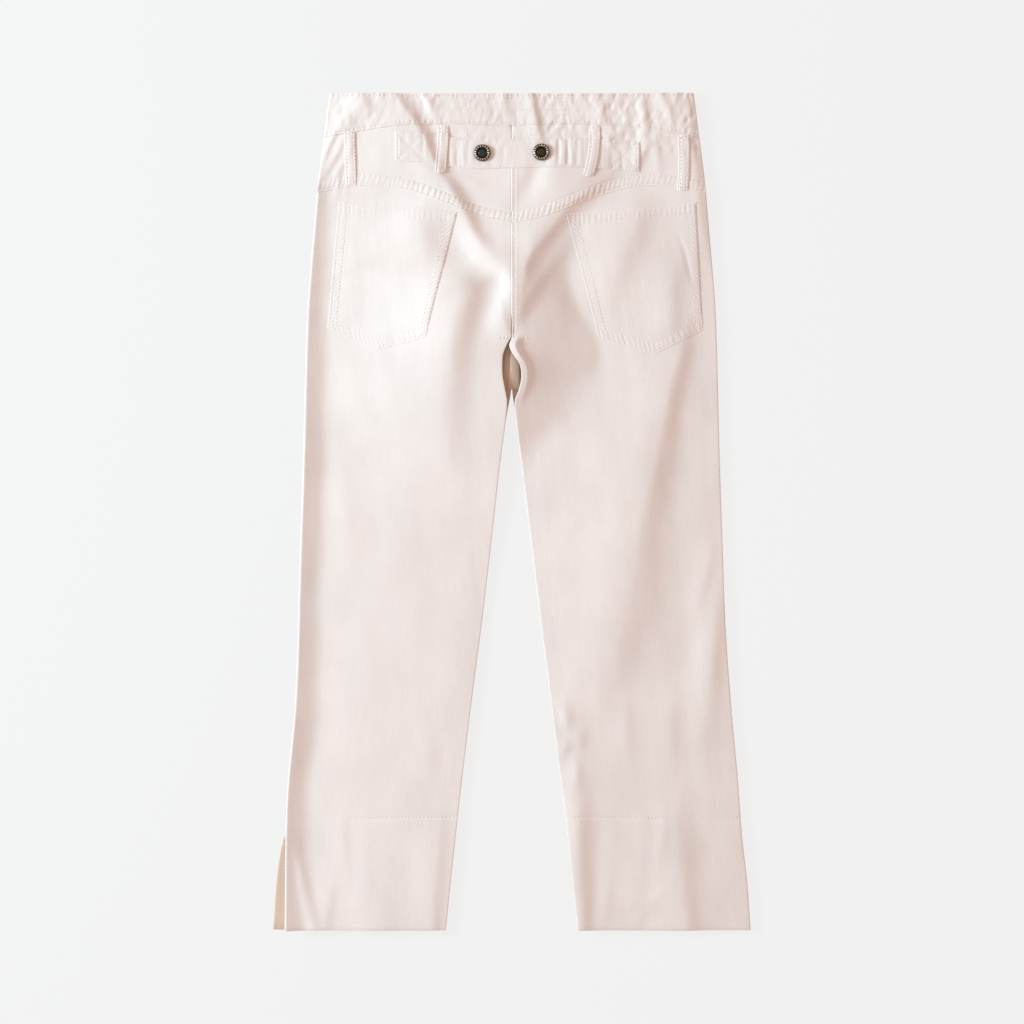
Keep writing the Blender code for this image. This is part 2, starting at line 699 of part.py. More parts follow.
def tab_top_under(x, height):
    """The tab's highest point under a snap cap, read between the points of its grid."""
    grid_x, _, top = tab_grid()
    spots = np.linspace(-SNAP_RADIUS, SNAP_RADIUS, 9)
    along = [np.interp(x + spots, grid_x[0], row) for row in top]
    offset = height - float(read(TAB_LINE, "height", x))
    tops = np.array([np.interp(offset + spots, TAB_ROWS * TAB_WIDTH, column) for column in zip(*along)])
    return tops[np.hypot(*np.meshgrid(spots, spots)) <= SNAP_RADIUS].max() + WALL


def make_tab(collection, cloth):
    """The adjusting tab, a strap across both yokes."""
    thicken(cloth_sheet("tab", *tab_grid(), collection, cloth), outwards=True)


def over_tab(x, height):
    """What a loop has to clear at a point: the back layer, and the tab where it passes under."""
    clear = stack_top(x, height, 4.5)
    tab_middle = read(TAB_LINE, "height", x)
    beside = np.abs(height - tab_middle) - TAB_WIDTH / 2
    inside = (x > TAB_LINE[0].x - 8) & (x < TAB_LINE[-1].x + 8)
    tab_top = stack_top(x, height, 10.5) + GAP + WALL
    return np.where(inside & (beside < 3.0), np.maximum(clear, tab_top), clear)


def make_loops(collection, cloth):
    """Belt loops: narrow straps tacked at both ends, standing a little proud between."""
    for loop in LOOPS:
        share = np.linspace(0, 1, LOOP_ROWS)[:, None]
        across = np.linspace(-0.5, 0.5, 3)[None, :] * LOOP_WIDTH
        x = loop.x0 + (loop.x1 - loop.x0) * share + 4 * loop.bend * share * (1 - share) + across
        height = loop.h0 + (loop.h1 - loop.h0) * share + 0 * across
        proud = 1.2 * np.sin(np.pi * share)
        clear = np.max(over_tab(x, height), axis=1, keepdims=True)
        top = np.broadcast_to(clear + GAP + proud, x.shape)
        thicken(cloth_sheet(loop.name, x, height, top, collection, cloth), outwards=True)


def make_snaps(collection, metal):
    """Metal snap caps on the tab, turned about their own axes."""
    for name, x, height in SNAPS:
        mesh = bpy.data.meshes.new(name)
        points = [(radius * MM, 0, z * MM) for radius, z in SNAP_PROFILE]
        edges = [(i, i + 1) for i in range(len(points) - 1)]
        mesh.from_pydata(points, edges, [])
        made = add_object(name, mesh, collection, metal)
        turn = made.modifiers.new("turn", "SCREW")
        turn.steps = turn.render_steps = SNAP_STEPS
        turn.use_merge_vertices = True
        turn.merge_threshold = 1e-5
        seat = tab_top_under(x, height) + GAP
        made.location = (x * MM, (height - LENGTH / 2) * MM, seat * MM)


def main():
    for left_over in list(bpy.data.objects):
        bpy.data.objects.remove(left_over)
    trousers = new_collection("capri_trousers")
    cutters = new_collection("cutters")
    cutters.hide_render = True
    cloth = material("cotton_cloth", (0.82, 0.74, 0.71), 0.85)
    metal = material("snap_metal", (0.10, 0.075, 0.06), 0.35, metallic=1.0)
    make_front(trousers, cloth)
    make_back(trousers, cloth)
    make_pockets(trousers, cutters, cloth)
    make_tab(trousers, cloth)
    make_loops(trousers, cloth)
    make_snaps(trousers, metal)


main()
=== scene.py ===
"""Capri trousers lying flat, front side down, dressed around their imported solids.

The frame is metres, +Z up, +Y from the hems to the waist and +X towards the wearer's right. Sizes
in the tables are millimetres, with heights counted up from the hem, and MM turns them to metres
where a mesh is made. Every piece of cloth is a grid of points whose height above the surface is a
function of its place, thickened into a closed wall with a rounded lip.
"""

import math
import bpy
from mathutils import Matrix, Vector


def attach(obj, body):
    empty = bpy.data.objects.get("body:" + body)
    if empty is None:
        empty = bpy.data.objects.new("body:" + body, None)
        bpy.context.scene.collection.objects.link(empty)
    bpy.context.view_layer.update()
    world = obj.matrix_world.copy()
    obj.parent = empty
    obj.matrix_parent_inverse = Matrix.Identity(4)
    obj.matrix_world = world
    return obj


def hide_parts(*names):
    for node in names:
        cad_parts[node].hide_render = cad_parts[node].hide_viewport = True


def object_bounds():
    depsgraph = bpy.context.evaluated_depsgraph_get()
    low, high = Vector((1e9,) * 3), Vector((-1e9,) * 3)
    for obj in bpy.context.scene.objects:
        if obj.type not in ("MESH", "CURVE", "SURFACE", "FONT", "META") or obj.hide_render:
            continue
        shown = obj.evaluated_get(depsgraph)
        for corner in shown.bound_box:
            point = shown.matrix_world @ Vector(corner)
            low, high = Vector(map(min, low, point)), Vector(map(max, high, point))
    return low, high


bl_info = {
    "name": "Capri Trousers",
    "version": (1, 0, 0),
    "blender": (4, 5, 0),
    "location": "View3D > Sidebar > Trousers",
    "description": "Builds flat-lying capri trousers with seams, stitching and snap caps",
    "category": "Object",
}

from collections import namedtuple
from functools import lru_cache, partial

import bpy
import numpy as np
from bpy.props import FloatProperty, FloatVectorProperty, PointerProperty

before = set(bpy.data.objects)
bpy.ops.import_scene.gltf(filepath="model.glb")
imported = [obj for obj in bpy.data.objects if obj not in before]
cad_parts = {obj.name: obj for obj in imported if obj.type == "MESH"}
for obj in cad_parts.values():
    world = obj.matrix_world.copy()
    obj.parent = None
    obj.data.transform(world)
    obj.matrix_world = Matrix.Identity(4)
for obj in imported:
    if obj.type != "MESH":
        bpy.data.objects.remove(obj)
CAD_LOW, CAD_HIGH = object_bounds()

MM = 0.001
SIDES = (("left", -1), ("right", 1))  # each side's name, and which way it lies
LENGTH = (CAD_HIGH.y - CAD_LOW.y) / MM  # hem edge to waist edge
GAP = 0.3  # between pieces that lie on each other
HALF_GAP = 0.2  # from a seam's line to the piece on either side of it
LIP = 0.45  # how far the rounded lip of a piece stands out from its grid
BODY_TOP = 5.0  # outer side of the quiet back layer, above the surface
EDGE_TOP = 2.9  # outer side of the back layer at the outline
EDGE_ROUND = 0.7  # the back layer rounds down over this distance at the sides
INNER_ROUND = 0.3  # and over this one at the inseams
RIM_SLOPE = 0.34  # the left side seam stands up, and the cloth falls away from it this steeply
RIM_REACH = 18.5  # over this distance
HEM_DEPTH = 113.0  # turned-up hem, from the hem edge to its stitching
BACK_CROTCH = 592.0  # lower end of the centre back seam
FRONT_CROTCH = 541.0  # lower end of the centre front seam
VENT_TOP = 87.0  # upper end of the side vents
BARS = ((-14.0, -3.0), (8.0, 18.0))  # ends of the bars of stitches beside the crotch
BAR_HEIGHTS = (591.0, 592.4)  # each bar is two rows
FRONT_WALL = 1.2  # thickness of the front layer
FRONT_RISE = 14.0  # how far the front layer is drawn up at the crotch
FRONT_DIP = 18.0  # how far the front waistband's edge dips at the centre front
RIGHT_REVEAL = 8.2  # how far the right front's edge runs in at the hem, where its vent is hidden
UNDER_BAND = 3.0  # how far a yoke reaches under the waistband
STRIP_WALL = 0.5  # thickness of a felled seam's strip
STRIP_EDGE = 1.5  # how far a felled seam's strip reaches above its seam
STRIP_START = 0.9  # and how far the centre seam's strip reaches left of the middle
LOOP_WIDTH = 11.0
TAB_WIDTH = 30.5
CAP_RADIUS = 8.5
SEAT_SWELL = 15.0  # the seat swell that the table of it is drawn for

# Rows of stitches, each by its distance from the edge or the seam that it follows.
BAND_ROW = 2.2
VENT_ROW = 2.2  # past the edge of the left back, over the vent, not on its cloth
FELLED_ROWS = (1.8, 1.6)  # below the upper and above the lower edge
CENTRE_ROW = 2.4
POCKET_ROWS = (2.0, 9.0)
MOUTH_EXTRA = 1.5  # the mouth's inner row lies this much further in
TAB_ROW = 2.0
BOX_ROW = 2.5
LOOP_ROW = 1.5


def table_of(kind, *values):
    """A table: rows of one kind, with named columns, from their values in order."""
    return tuple(kind(*value) for value in values)


# The outline, hem to waist, the same on both sides.
Side = namedtuple("Side", "height half_width")
OUTLINE = table_of(Side,
    (0, 239.2), (50, 235.6), (90, 231), (150, 226.5), (230, 219.3), (310, 213.8), (390, 211),
    (470, 208.3), (550, 206.3), (590, 205.2), (630, 203.5), (670, 200.3), (710, 196.8),
    (750, 193.4), (790, 188.3), (837.2, 182.3))

# Inner leg edges, as distances from the middle. The back panels part above the front crotch.
Inseam = namedtuple("Inseam", "height left right")
INSEAM = table_of(Inseam,
    (0, 66, 66), (70, 58.7, 58.5), (150, 49.8, 49), (230, 40, 39), (310, 29.6, 28.8),
    (390, 20.2, 19), (470, 11.2, 9.4), (510, 6, 4.4))
FRONT_INSEAM = INSEAM + table_of(Inseam, (FRONT_CROTCH, HALF_GAP, HALF_GAP))
BACK_INSEAM = INSEAM + table_of(Inseam,
    (530, 4.6, 3.4), (541, 6.6, 7.4), (555, 9, 9.6), (566, 9.2, 7.4), (575, 8.4, 1.2),
    (584, 5, -2.6), (BACK_CROTCH, HALF_GAP, HALF_GAP))

# How far the left front stands out past the left back at the side, where the vent shows it.
Reveal = namedtuple("Reveal", "height width")
LEFT_REVEAL = table_of(Reveal, (0, 12.5), (50, 9.2), (90, 5), (230, 3), (330, 0))

# How far the left front's edge lies inside the outline above its vent, where the side seam holds
# it.
LEFT_INSET = table_of(Reveal,
    (60, 0), (74, 0.3), (84, 0.9), (91, 2), (97, 4), (150, 2.6), (230, 1.8), (330, 0))

# Seams across the back, by distance from the centre back seam.
Seam = namedtuple("Seam", "across height")
YOKE_SEAM = table_of(Seam,
    (0, 718), (32, 725), (57, 734), (84, 745), (116, 754), (155, 756), (194, 749))
BAND_SEAM = table_of(Seam, (0, 805), (75, 806.5), (110, 805), (148, 800), (190, 793))
FRONT_BAND_SEAM = table_of(Seam, (0, 782), (90, 792), (190, 793))

# Folds, each a row of stations along its crest from its upper to its lower end. left and right are
# the half widths on either side of the crest, and rise is its height, negative for a trough.
Crest = namedtuple("Crest", "x height left right rise")


def fold(*stations):
    """A fold, from the values of its stations."""
    return table_of(Crest, *stations)


WAIST_TO_LOOP = fold(
    (-136, 852, 40, 8, 2.6), (-112, 826, 46, 8, 4), (-99, 808, 50, 8, 4.8), (-90, 793, 54, 8, 4.6),
    (-83, 778, 60, 7, 3.6), (-78, 764, 66, 7, 2), (-74, 752, 70, 7, 0))
LOOP_TO_CROTCH = fold(
    (-84, 776, 64, 9, 0), (-76, 760, 70, 9, 2.8), (-62, 739, 80, 10, 5.8), (-49, 716, 80, 10, 6.6),
    (-40, 696, 60, 10, 5.8), (-29, 680, 40, 11, 4.6), (-17, 667, 26, 17, 3.4), (-7, 652, 18, 24, 3),
    (-3, 636, 13, 18, 2.4), (-1, 620, 8, 12, 1.4), (0, 606, 7, 9, 0))
LEFT_DENT = fold(
    (-64, 716, 14, 12, 0), (-60, 700, 17, 13, -2.6), (-52, 680, 19, 14, -4.2),
    (-42, 666, 20, 14, -4.6), (-28, 656, 20, 12, -4.2), (-16, 650, 16, 9, -3), (-7, 645, 10, 7, 0))
LEFT_THIGH = fold(
    (-45, 672, 16, 14, 0), (-46, 660, 24, 22, 2.8), (-48, 648, 36, 27, 6.6),
    (-53, 632, 52, 28, 8.4), (-59, 612, 62, 27, 8.4), (-64, 588, 66, 26, 7.4),
    (-66, 560, 66, 23, 6), (-67, 530, 64, 21, 4.5), (-67, 500, 60, 20, 3), (-67, 468, 56, 19, 1.4),
    (-67, 436, 52, 19, 0))
THIGH_TIP = fold(
    (-10, 652, 6, 5, 0), (-12, 645, 13, 7, -3), (-17, 635, 16, 11, -4.2), (-24, 622, 16, 14, -3.6),
    (-31, 608, 15, 15, -2.4), (-36, 590, 14, 15, -1.2), (-40, 570, 14, 14, 0))
LEFT_POCKET = fold(
    (-96, 728, 30, 9, 0), (-92, 705, 30, 10, 1.2), (-89, 680, 30, 10, 1), (-88, 650, 30, 10, 0))
CROTCH_CREASE = fold(
    (-18, 645, 12, 6, 0), (-15, 633, 14, 8, 2.4), (-12, 621, 14, 8, 3.4), (-9, 609, 13, 7, 2.8),
    (-5, 597, 10, 5, 1), (-4, 590, 9, 5, 0))
RIGHT_SEAT = fold(
    (108, 766, 40, 9, 0), (92, 753, 50, 9, 1.8), (74, 741, 60, 9, 3.2), (54, 723, 64, 9, 4),
    (41, 707, 64, 9, 3.8), (27, 689, 60, 9, 3.4), (16, 674, 50, 8, 3), (12, 661, 36, 7, 2.2),
    (12, 648, 24, 7, 0))
RIGHT_SEAT_LOW = fold(
    (54, 700, 40, 9, 0), (46, 682, 46, 9, 1), (35, 664, 46, 9, 1.8), (24, 649, 44, 9, 2.4),
    (15, 635, 34, 9, 2.8), (8, 621, 20, 9, 2.4), (3, 606, 10, 7, 0))
BELOW_TAB = fold(
    (30, 772, 10, 10, 0), (25, 757, 10, 11, -2.2), (17, 741, 10, 11, -1.9), (9, 728, 9, 10, -0.8),
    (3, 718, 8, 9, 0))
BESIDE_TROUGH = fold(
    (50, 778, 9, 40, 0), (40, 760, 11, 40, 1.2), (29, 743, 11, 34, 1.1), (19, 730, 9, 26, 0))
RIGHT_POCKET = fold(
    (132, 742, 34, 16, 0), (125, 716, 38, 17, 2.8), (114, 690, 40, 19, 3.6),
    (105, 665, 38, 19, 3.2), (98, 642, 34, 18, 2.2), (91, 618, 30, 16, 0))
POCKET_CORNER = fold(
    (164, 682, 24, 12, 0), (160, 660, 26, 13, 1.8), (157, 630, 26, 12, 2.2),
    (157, 604, 20, 11, 1.6), (158, 585, 16, 10, 0))
POCKET_CREASE = fold(
    (167, 696, 3, 2.5, 0), (173, 679, 3, 2.5, -0.6), (177, 662, 3, 2.5, -0.6),
    (181, 646, 3, 2.5, 0))
# Outside the right thigh, down to the knee.
RIGHT_THIGH = fold(
    (176, 618, 40, 8, 0), (170, 592, 50, 11, 2.8), (162, 562, 60, 13, 4.8), (154, 532, 60, 15, 5.6),
    (147, 500, 60, 17, 5.8), (141, 468, 60, 18, 5.8), (133, 438, 60, 20, 5.6),
    (125, 408, 60, 23, 5.6), (120, 376, 60, 27, 6), (112, 340, 60, 31, 6.2),
    (103, 302, 55, 33, 5.8), (92, 266, 45, 32, 4.2), (76, 232, 34, 28, 2), (64, 205, 26, 24, 0))
# Bright rise beside it.
KNEE_EDGE = fold(
    (204, 350, 14, 10, 0), (202, 305, 16, 10, 1.8), (197, 250, 17, 12, 2.4),
    (190, 200, 16, 14, 1.4), (186, 160, 14, 14, 0))
KNEE_STREAK = fold(
    (200, 396, 10, 6, 0), (196, 365, 10, 6, 0.7), (187, 332, 10, 7, 0.7), (181, 300, 9, 7, 0))
RIGHT_SHIN = fold(
    (158, 245, 14, 10, 0), (157, 215, 14, 10, 1.1), (158, 180, 14, 10, 0.9), (160, 145, 12, 9, 0))
SHIN_STREAK = fold((114, 240, 12, 8, 0), (113, 210, 12, 8, 0.8), (115, 172, 12, 8, 0))
KNEE_CRUMPLES = (
    fold((50, 228, 7, 7, 0), (55, 210, 7, 7, 1.8), (58, 196, 7, 7, 0)),
    fold((66, 206, 7, 7, 0), (68, 192, 7, 7, 1.4), (66, 178, 7, 7, 0)),
    fold((62, 194, 8, 6, 0), (54, 184, 8, 6, 1.4), (47, 176, 8, 6, 0)),
    fold((64, 172, 6, 5, 0), (65, 156, 6, 5, 1), (64, 142, 6, 5, 0)),
)
RIGHT_HEM_INNER = fold(
    (60, 176, 16, 12, 0), (64, 146, 16, 14, 2.04), (65, 112, 18, 14, 3.91), (65, 80, 18, 14, 4.25),
    (66, 48, 18, 13, 4.08), (68, 18, 18, 12, 3.74), (69, -12, 18, 12, 3.74))
RIGHT_HEM_OUTER = fold(
    (166, 134, 22, 8, 0), (163, 108, 26, 12, 1.5), (166, 78, 30, 14, 2.25), (169, 48, 32, 14, 2.55),
    (173, 20, 32, 13, 2.85), (175, -12, 32, 12, 3.3))
RIGHT_HEM_SMALL = (
    fold((160, 44, 5, 4, 0), (144, 33, 5, 4, 0.42), (118, 24, 5, 4, 0.3), (98, 20, 4, 3, 0)),
    fold((156, 40, 5, 5, 0), (138, 24, 5, 5, 0.42), (122, 4, 5, 5, 0.3), (118, -6, 5, 5, 0)),
    fold((96, 62, 8, 7, 0), (95, 40, 8, 7, 0.6), (90, 10, 8, 8, 0.72), (88, -10, 8, 8, 0.6)),
    fold((128, 128, 8, 6, 0), (130, 90, 9, 7, 0.42), (128, 50, 9, 7, 0.3), (124, 10, 8, 7, 0)),
    fold((98, 126, 6, 6, 0), (100, 96, 7, 7, 0.36), (99, 70, 6, 6, 0)),
    fold((150, 132, 6, 5, 0), (152, 104, 6, 5, 0.42), (148, 76, 6, 6, 0.42), (146, 54, 6, 6, 0)),
)
RIGHT_SIDE = fold(
    (172, 852, 40, 10, 2.2), (174, 820, 40, 10, 3), (177, 790, 40, 10, 3), (182, 755, 36, 10, 2.8),
    (186, 720, 30, 9, 2.4), (191, 686, 24, 8, 1.4), (195, 655, 20, 8, 0))
LEFT_LEG = (
    fold(
        (-176, 500, 30, 12, 0), (-172, 450, 30, 12, 0.8), (-166, 400, 30, 12, 0.8),
        (-164, 350, 30, 12, 0)),
    fold(
        (-164, 596, 14, 6, 0), (-161, 560, 14, 6, 0.25), (-153, 528, 14, 6, 0.3),
        (-138, 508, 14, 6, 0.25), (-120, 500, 14, 6, 0)),
    fold((-104, 340, 26, 14, 0), (-98, 305, 26, 14, 0.6), (-96, 270, 26, 14, 0)),
    fold((-88, 205, 20, 9, 0), (-84, 178, 20, 9, 0.7), (-84, 150, 20, 9, 0)),
    fold((-60, 330, 24, 16, 0), (-54, 260, 24, 16, 0.8), (-60, 180, 24, 16, 0)),
)
LEFT_HEM = (
    fold((-172, 124, 12, 7, 0), (-170, 96, 12, 6, 0.7), (-167, 66, 12, 6, 0.6),
        (-166, 36, 12, 6, 0)),
    fold((-150, 118, 10, 8, 0), (-148, 84, 10, 8, 0.5), (-147, 50, 10, 8, 0.5),
        (-150, 10, 10, 8, 0)),
    fold(
        (-216, 82, 5, 6, 0), (-211, 62, 5, 6, 1.2), (-206, 36, 6, 6, 1.6), (-200, 8, 7, 7, 1.6),
        (-197, -12, 7, 7, 1.4)),
    fold(
        (-126, 88, 34, 24, 0), (-130, 50, 34, 24, 1.4), (-132, 12, 34, 26, 2.2),
        (-134, -12, 34, 26, 2.4)),
    fold((-72, 132, 24, 8, 0), (-74, 90, 24, 8, 1), (-79, 40, 24, 10, 1.8),
        (-82, -12, 24, 10, 2.2)),
    fold((-180, 60, 12, 7, 0), (-184, 30, 12, 7, 0.9), (-190, -10, 12, 7, 1)),
)
WAIST_FOLDS = (
    fold(
        (-150, 852, 12, 8, 1.4), (-157, 822, 12, 9, 2), (-167, 806, 12, 8, 1.9),
        (-178, 794, 10, 7, 0)),
    fold((-152, 832, 10, 6, 0), (-146, 824, 10, 7, 1.7), (-138, 815, 8, 6, 0)),
    fold((-133, 850, 8, 4, 0.5), (-130, 833, 8, 4, 0.7), (-128, 820, 8, 4, 0)),
    fold((-80, 850, 8, 5, 0.5), (-78, 832, 8, 5, 0.9), (-76, 816, 8, 5, 0.7), (-75, 800, 6, 4, 0)),
    fold((-90, 840, 4, 4, 0), (-84, 828, 4, 4, 1.4), (-79, 816, 4, 4, 0)),
    fold((-10, 852, 5, 4, 0.8), (-8, 832, 5, 4, 1.4), (-6, 816, 5, 4, 0)),
    fold(
        (17, 852, 8, 4, 1.6), (20, 832, 8, 4, 1.9), (23, 814, 8, 4, 2.2), (27, 796, 8, 4, 1.8),
        (30, 780, 6, 4, 0)),
    fold((88, 832, 7, 4, 0), (90, 818, 7, 4, 1.4), (91, 802, 6, 4, 0)),
    fold((112, 826, 6, 4, 0), (114, 812, 6, 4, 1.2), (115, 796, 6, 4, 0)),
    fold(
        (130, 852, 7, 5, 1), (131, 830, 7, 5, 1.2), (132, 814, 8, 5, 1.8), (134, 798, 8, 5, 1.6),
        (134, 786, 8, 5, 1.8), (127, 772, 8, 6, 2), (121, 760, 8, 6, 0)),
    fold((146, 852, 7, 5, 1.2), (151, 832, 7, 5, 1.7), (157, 818, 7, 5, 1.2), (160, 802, 6, 5, 0)),
    fold((148, 802, 6, 5, 0), (144, 786, 6, 5, 1), (146, 768, 6, 5, 0.8), (148, 752, 6, 5, 0)),
    fold((166, 850, 6, 5, 1), (164, 834, 6, 5, 1.2), (160, 820, 6, 5, 0)),
    fold((98, 806, 5, 4, 0), (103, 797, 4, 4, 1.6), (112, 800, 4, 4, 0)),
    fold((92, 800, 5, 4, 0), (97, 792, 5, 4, 1.8), (100, 784, 4, 4, 0)),
)
LEFT_SIDE_WRINKLES = (
    fold((-170, 812, 4, 3, 0), (-178, 794, 5, 3, 0.9), (-186, 776, 5, 3, 1), (-192, 760, 5, 3, 0)),
    fold((-164, 800, 4, 3, 0), (-170, 786, 5, 3, 0.9), (-180, 768, 6, 4, 1.4),
        (-190, 752, 6, 4, 0)),
    fold((-160, 788, 4, 3, 0), (-166, 772, 5, 3, 0.8), (-176, 756, 5, 4, 0.9),
        (-184, 742, 5, 4, 0)),
    fold((-172, 764, 5, 3, 0), (-173, 748, 5, 3, 0.9), (-176, 728, 5, 3, 0)),
    fold((-166, 760, 4, 3, 0), (-165, 748, 4, 3, 0.6), (-166, 734, 4, 3, 0)),
    fold((-58, 758, 6, 4, 0), (-42, 750, 6, 4, 0.6), (-24, 744, 6, 4, 0)),
    fold((-100, 764, 6, 4, 0), (-84, 760, 6, 4, 0.8), (-72, 756, 6, 4, 0)),
)
FOLDS = (
    WAIST_TO_LOOP, LOOP_TO_CROTCH, LEFT_DENT, LEFT_THIGH, THIGH_TIP, LEFT_POCKET, CROTCH_CREASE,
    RIGHT_SEAT, RIGHT_SEAT_LOW, BELOW_TAB, BESIDE_TROUGH, RIGHT_POCKET, POCKET_CORNER,
    POCKET_CREASE, RIGHT_THIGH, KNEE_EDGE, KNEE_STREAK, RIGHT_SHIN, SHIN_STREAK, *KNEE_CRUMPLES,
    RIGHT_HEM_INNER, RIGHT_HEM_OUTER, *RIGHT_HEM_SMALL, RIGHT_SIDE, *LEFT_LEG, *LEFT_HEM,
    *WAIST_FOLDS, *LEFT_SIDE_WRINKLES)
TRACE_STEP = 3.0  # spacing of the points that a fold's crest is followed by
FOLD_REACH = 2.4  # a fold is worked out as far from its crest as this many of its half widths
CREST_BLEND = 60.0  # square millimetres over which one stretch of a crest passes into the next
FIELD_HALF = 260.0  # the folds are worked out once at every millimetre, this far to either side
FIELD_BELOW = 30.0  # and this far past the hem and the waist

# The cloth swells towards the crotch: how far at the inner edge of each side, and where the right
# side's slope starts and ends, across from the middle. It ends in a crease.
Swell = namedtuple("Swell", "height left right start reach")
SWELL = table_of(Swell,
    (350, 0, 0, 0, 8), (400, 2, 0, 0, 8), (455, 4.5, 0, 0, 8), (470, 5.5, 2.6, 0, 19),
    (488, 7, 6, 0, 35), (505, 8.4, 10, 0, 54), (520, 9.6, 12.8, 0, 66), (535, 10.8, 15, 0, 76),
    (550, 12, 16.4, 0, 84), (566, 13.9, 18.2, 4, 87), (577, 15.3, 17.8, 10, 88),
    (592, 16.2, 16.4, 10, 83), (605, 15.6, 15.6, 8, 76), (620, 14.2, 14.2, 8, 68),
    (635, 12.4, 12.4, 10, 60), (660, 9.5, 9.5, 14, 56), (680, 7.5, 7.5, 19, 62),
    (700, 5.5, 5.5, 28, 68), (720, 3.8, 3.8, 44, 78), (740, 2.2, 2.2, 60, 92), (760, 1, 1, 80, 106),
    (795, 0, 0, 100, 112))
SWELL_LEFT = 110.0  # the left side's slope is a bell of this width

# The gathers of the waistband and the yokes: how high they are in the band and below it.
Gather = namedtuple("Gather", "x band below")
GATHERS = table_of(Gather,
    (-185, 0.15, 0.16), (-120, 0.13, 0.06), (-75, 0.17, 0.14), (0, 0.17, 0.20), (60, 0.26, 0.28),
    (120, 0.28, 0.26), (170, 0.26, 0.28))

GATHER_SEED, GATHER_WAVES = 5, 22  # the fixed draw of the gathers' waves, and how many there are
CRUMPLE_SEED, LONG_WAVES, FINE_WAVES = 11, 16, 14  # the same for the unevenness of worn cloth

# Corners of the back pockets.
Pocket = namedtuple("Pocket", "name side inner_top outer_top outer_bottom tip inner_bottom")
POCKETS = table_of(Pocket,
    ("left", -1, (-54.3, 717.3), (-172.8, 729.3), (-183.8, 602.3), (-133.8, 580.3), (-85.8, 592.3)),
    ("right", 1, (55, 715.3), (184.3, 727.8), (191.3, 600.3), (143.3, 576.3), (87.8, 591.3)))
POCKET_TOP_BOW = 4.0  # the pocket's mouth is a little higher at its middle

# The tab's middle line, and the belt loops, each from its upper to its lower end.
Station = namedtuple("Station", "x height")
TAB_LINE = table_of(Station,
    (-116.5, 784), (-74, 781.5), (-56, 777.8), (0, 777.3), (72, 777.8), (96, 776), (128, 773.5))
TAB_BOXES = ((-116.5, -86.0), (97.0, 128.0))  # the boxed and crossed ends
Loop = namedtuple("Loop", "name x0 h0 x1 h1 bend")
LOOPS = table_of(Loop,
    ("left_outer", -162, 799, -160.8, 746, 0),
    ("left_inner", -68.3, 805, -71.2, 757, 0.5),
    ("right_inner", 82.6, 805, 76.4, 754, 2.6),
    ("right_outer", 171.5, 795, 170.6, 740, 1))
CAPS = (("left", -29.5, 777.2), ("right", 29.5, 777.8))

# Half the profile of a cap from the middle outwards and down: how worn it is, and whether it is
# part of the middle disc.
CapPoint = namedtuple("CapPoint", "radius z worn middle")
CAP_PROFILE = table_of(CapPoint,
    (0, 2, 0.1, 1), (2, 1.95, 0.1, 1), (3.4, 1.75, 0.1, 1), (4, 1.3, 0, 0.5), (4.5, 1.2, 0, 0),
    (5, 1.9, 0.3, 0), (5.6, 2.35, 0.2, 0), (6.2, 2.5, 0.2, 0), (6.9, 2.5, 0.2, 0),
    (7.5, 2.3, 0.3, 0), (8.1, 1.8, 0.5, 0), (8.5, 1.1, 0.3, 0), (8.45, 0.4, 0, 0), (7.8, 0, 0, 0))
CAP_DOTS = 17  # raised dots round the rim
DOT_RING, DOT_WIDTH, DOT_RISE = 6.55, 0.75, 0.35  # their radius from the middle, breadth and height

# Stitched outlines on the waistband and the yoke: left, right, lower and upper edges.
Frame = namedtuple("Frame", "left right low high")
BAND_FRAME = Frame(-42.0, 53.0, 820.5, 832.5)
YOKE_FRAME = Frame(-45.0, 18.5, 793.5, 803.5)


# ---------------------------------------------------------------- numbers and colours


def linear(code):
    """A linear colour with alpha from an sRGB hex code."""
    levels = np.array([int(code[i : i + 2], 16) for i in (0, 2, 4)]) / 255
    flat = np.where(levels <= 0.04045, levels / 12.92, ((levels + 0.055) / 1.055) ** 2.4)
    return tuple(flat) + (1.0,)


def read(table, column, at):
    """A smooth curve (cubic Hermite) through a column's values, level beyond the table's ends."""
    place = np.array([row[0] for row in table], float)
    value = np.array([getattr(row, column) for row in table], float)
    slope = np.gradient(value, place)
    low = np.clip(np.searchsorted(place, at) - 1, 0, len(place) - 2)
    step = place[low + 1] - place[low]
    t = np.clip((at - place[low]) / step, 0, 1)
    ends = value[low] * (1 + 2 * t) * (1 - t) ** 2 + value[low + 1] * (3 - 2 * t) * t**2
    bends = slope[low] * t * (1 - t) ** 2 - slope[low + 1] * (1 - t) * t**2
    return ends + step * bends


def smooth(share):
    """0 to 1 with a level start and end."""
    share = np.clip(share, 0.0, 1.0)
    return share * share * (3 - 2 * share)


def bell(distance, width):
    """1 at no distance and 1/e at the width, in a bell."""
    return np.exp(-((distance / width) ** 2))


def rounded(distance, reach):
    """A quarter of an ellipse: 0 at an edge, 1 from reach inwards."""
    return np.sqrt(1 - (1 - np.clip(distance / reach, 0, 1)) ** 2)


def clustered(length, step, edge, edge_step):
    """Places along a length: close together within edge of either end, and further apart
    between."""
    near = np.arange(0, edge, edge_step)
    middle = np.linspace(edge, length - edge, max(2, round((length - 2 * edge) / step)))
    return np.concatenate([near, middle, length - near[::-1]]) / length


# ---------------------------------------------------------------- the cloth's form


def half_width(height):
    """Half the width of the outline."""
    return read(OUTLINE, "half_width", height)


def yoke_seam(across):
    """Height of the seam below the yokes, by the distance from the middle."""
    return read(YOKE_SEAM, "height", across)


def band_seam(across):
    """Height of the seam below the back waistband, by the distance from the middle."""
    return read(BAND_SEAM, "height", across)


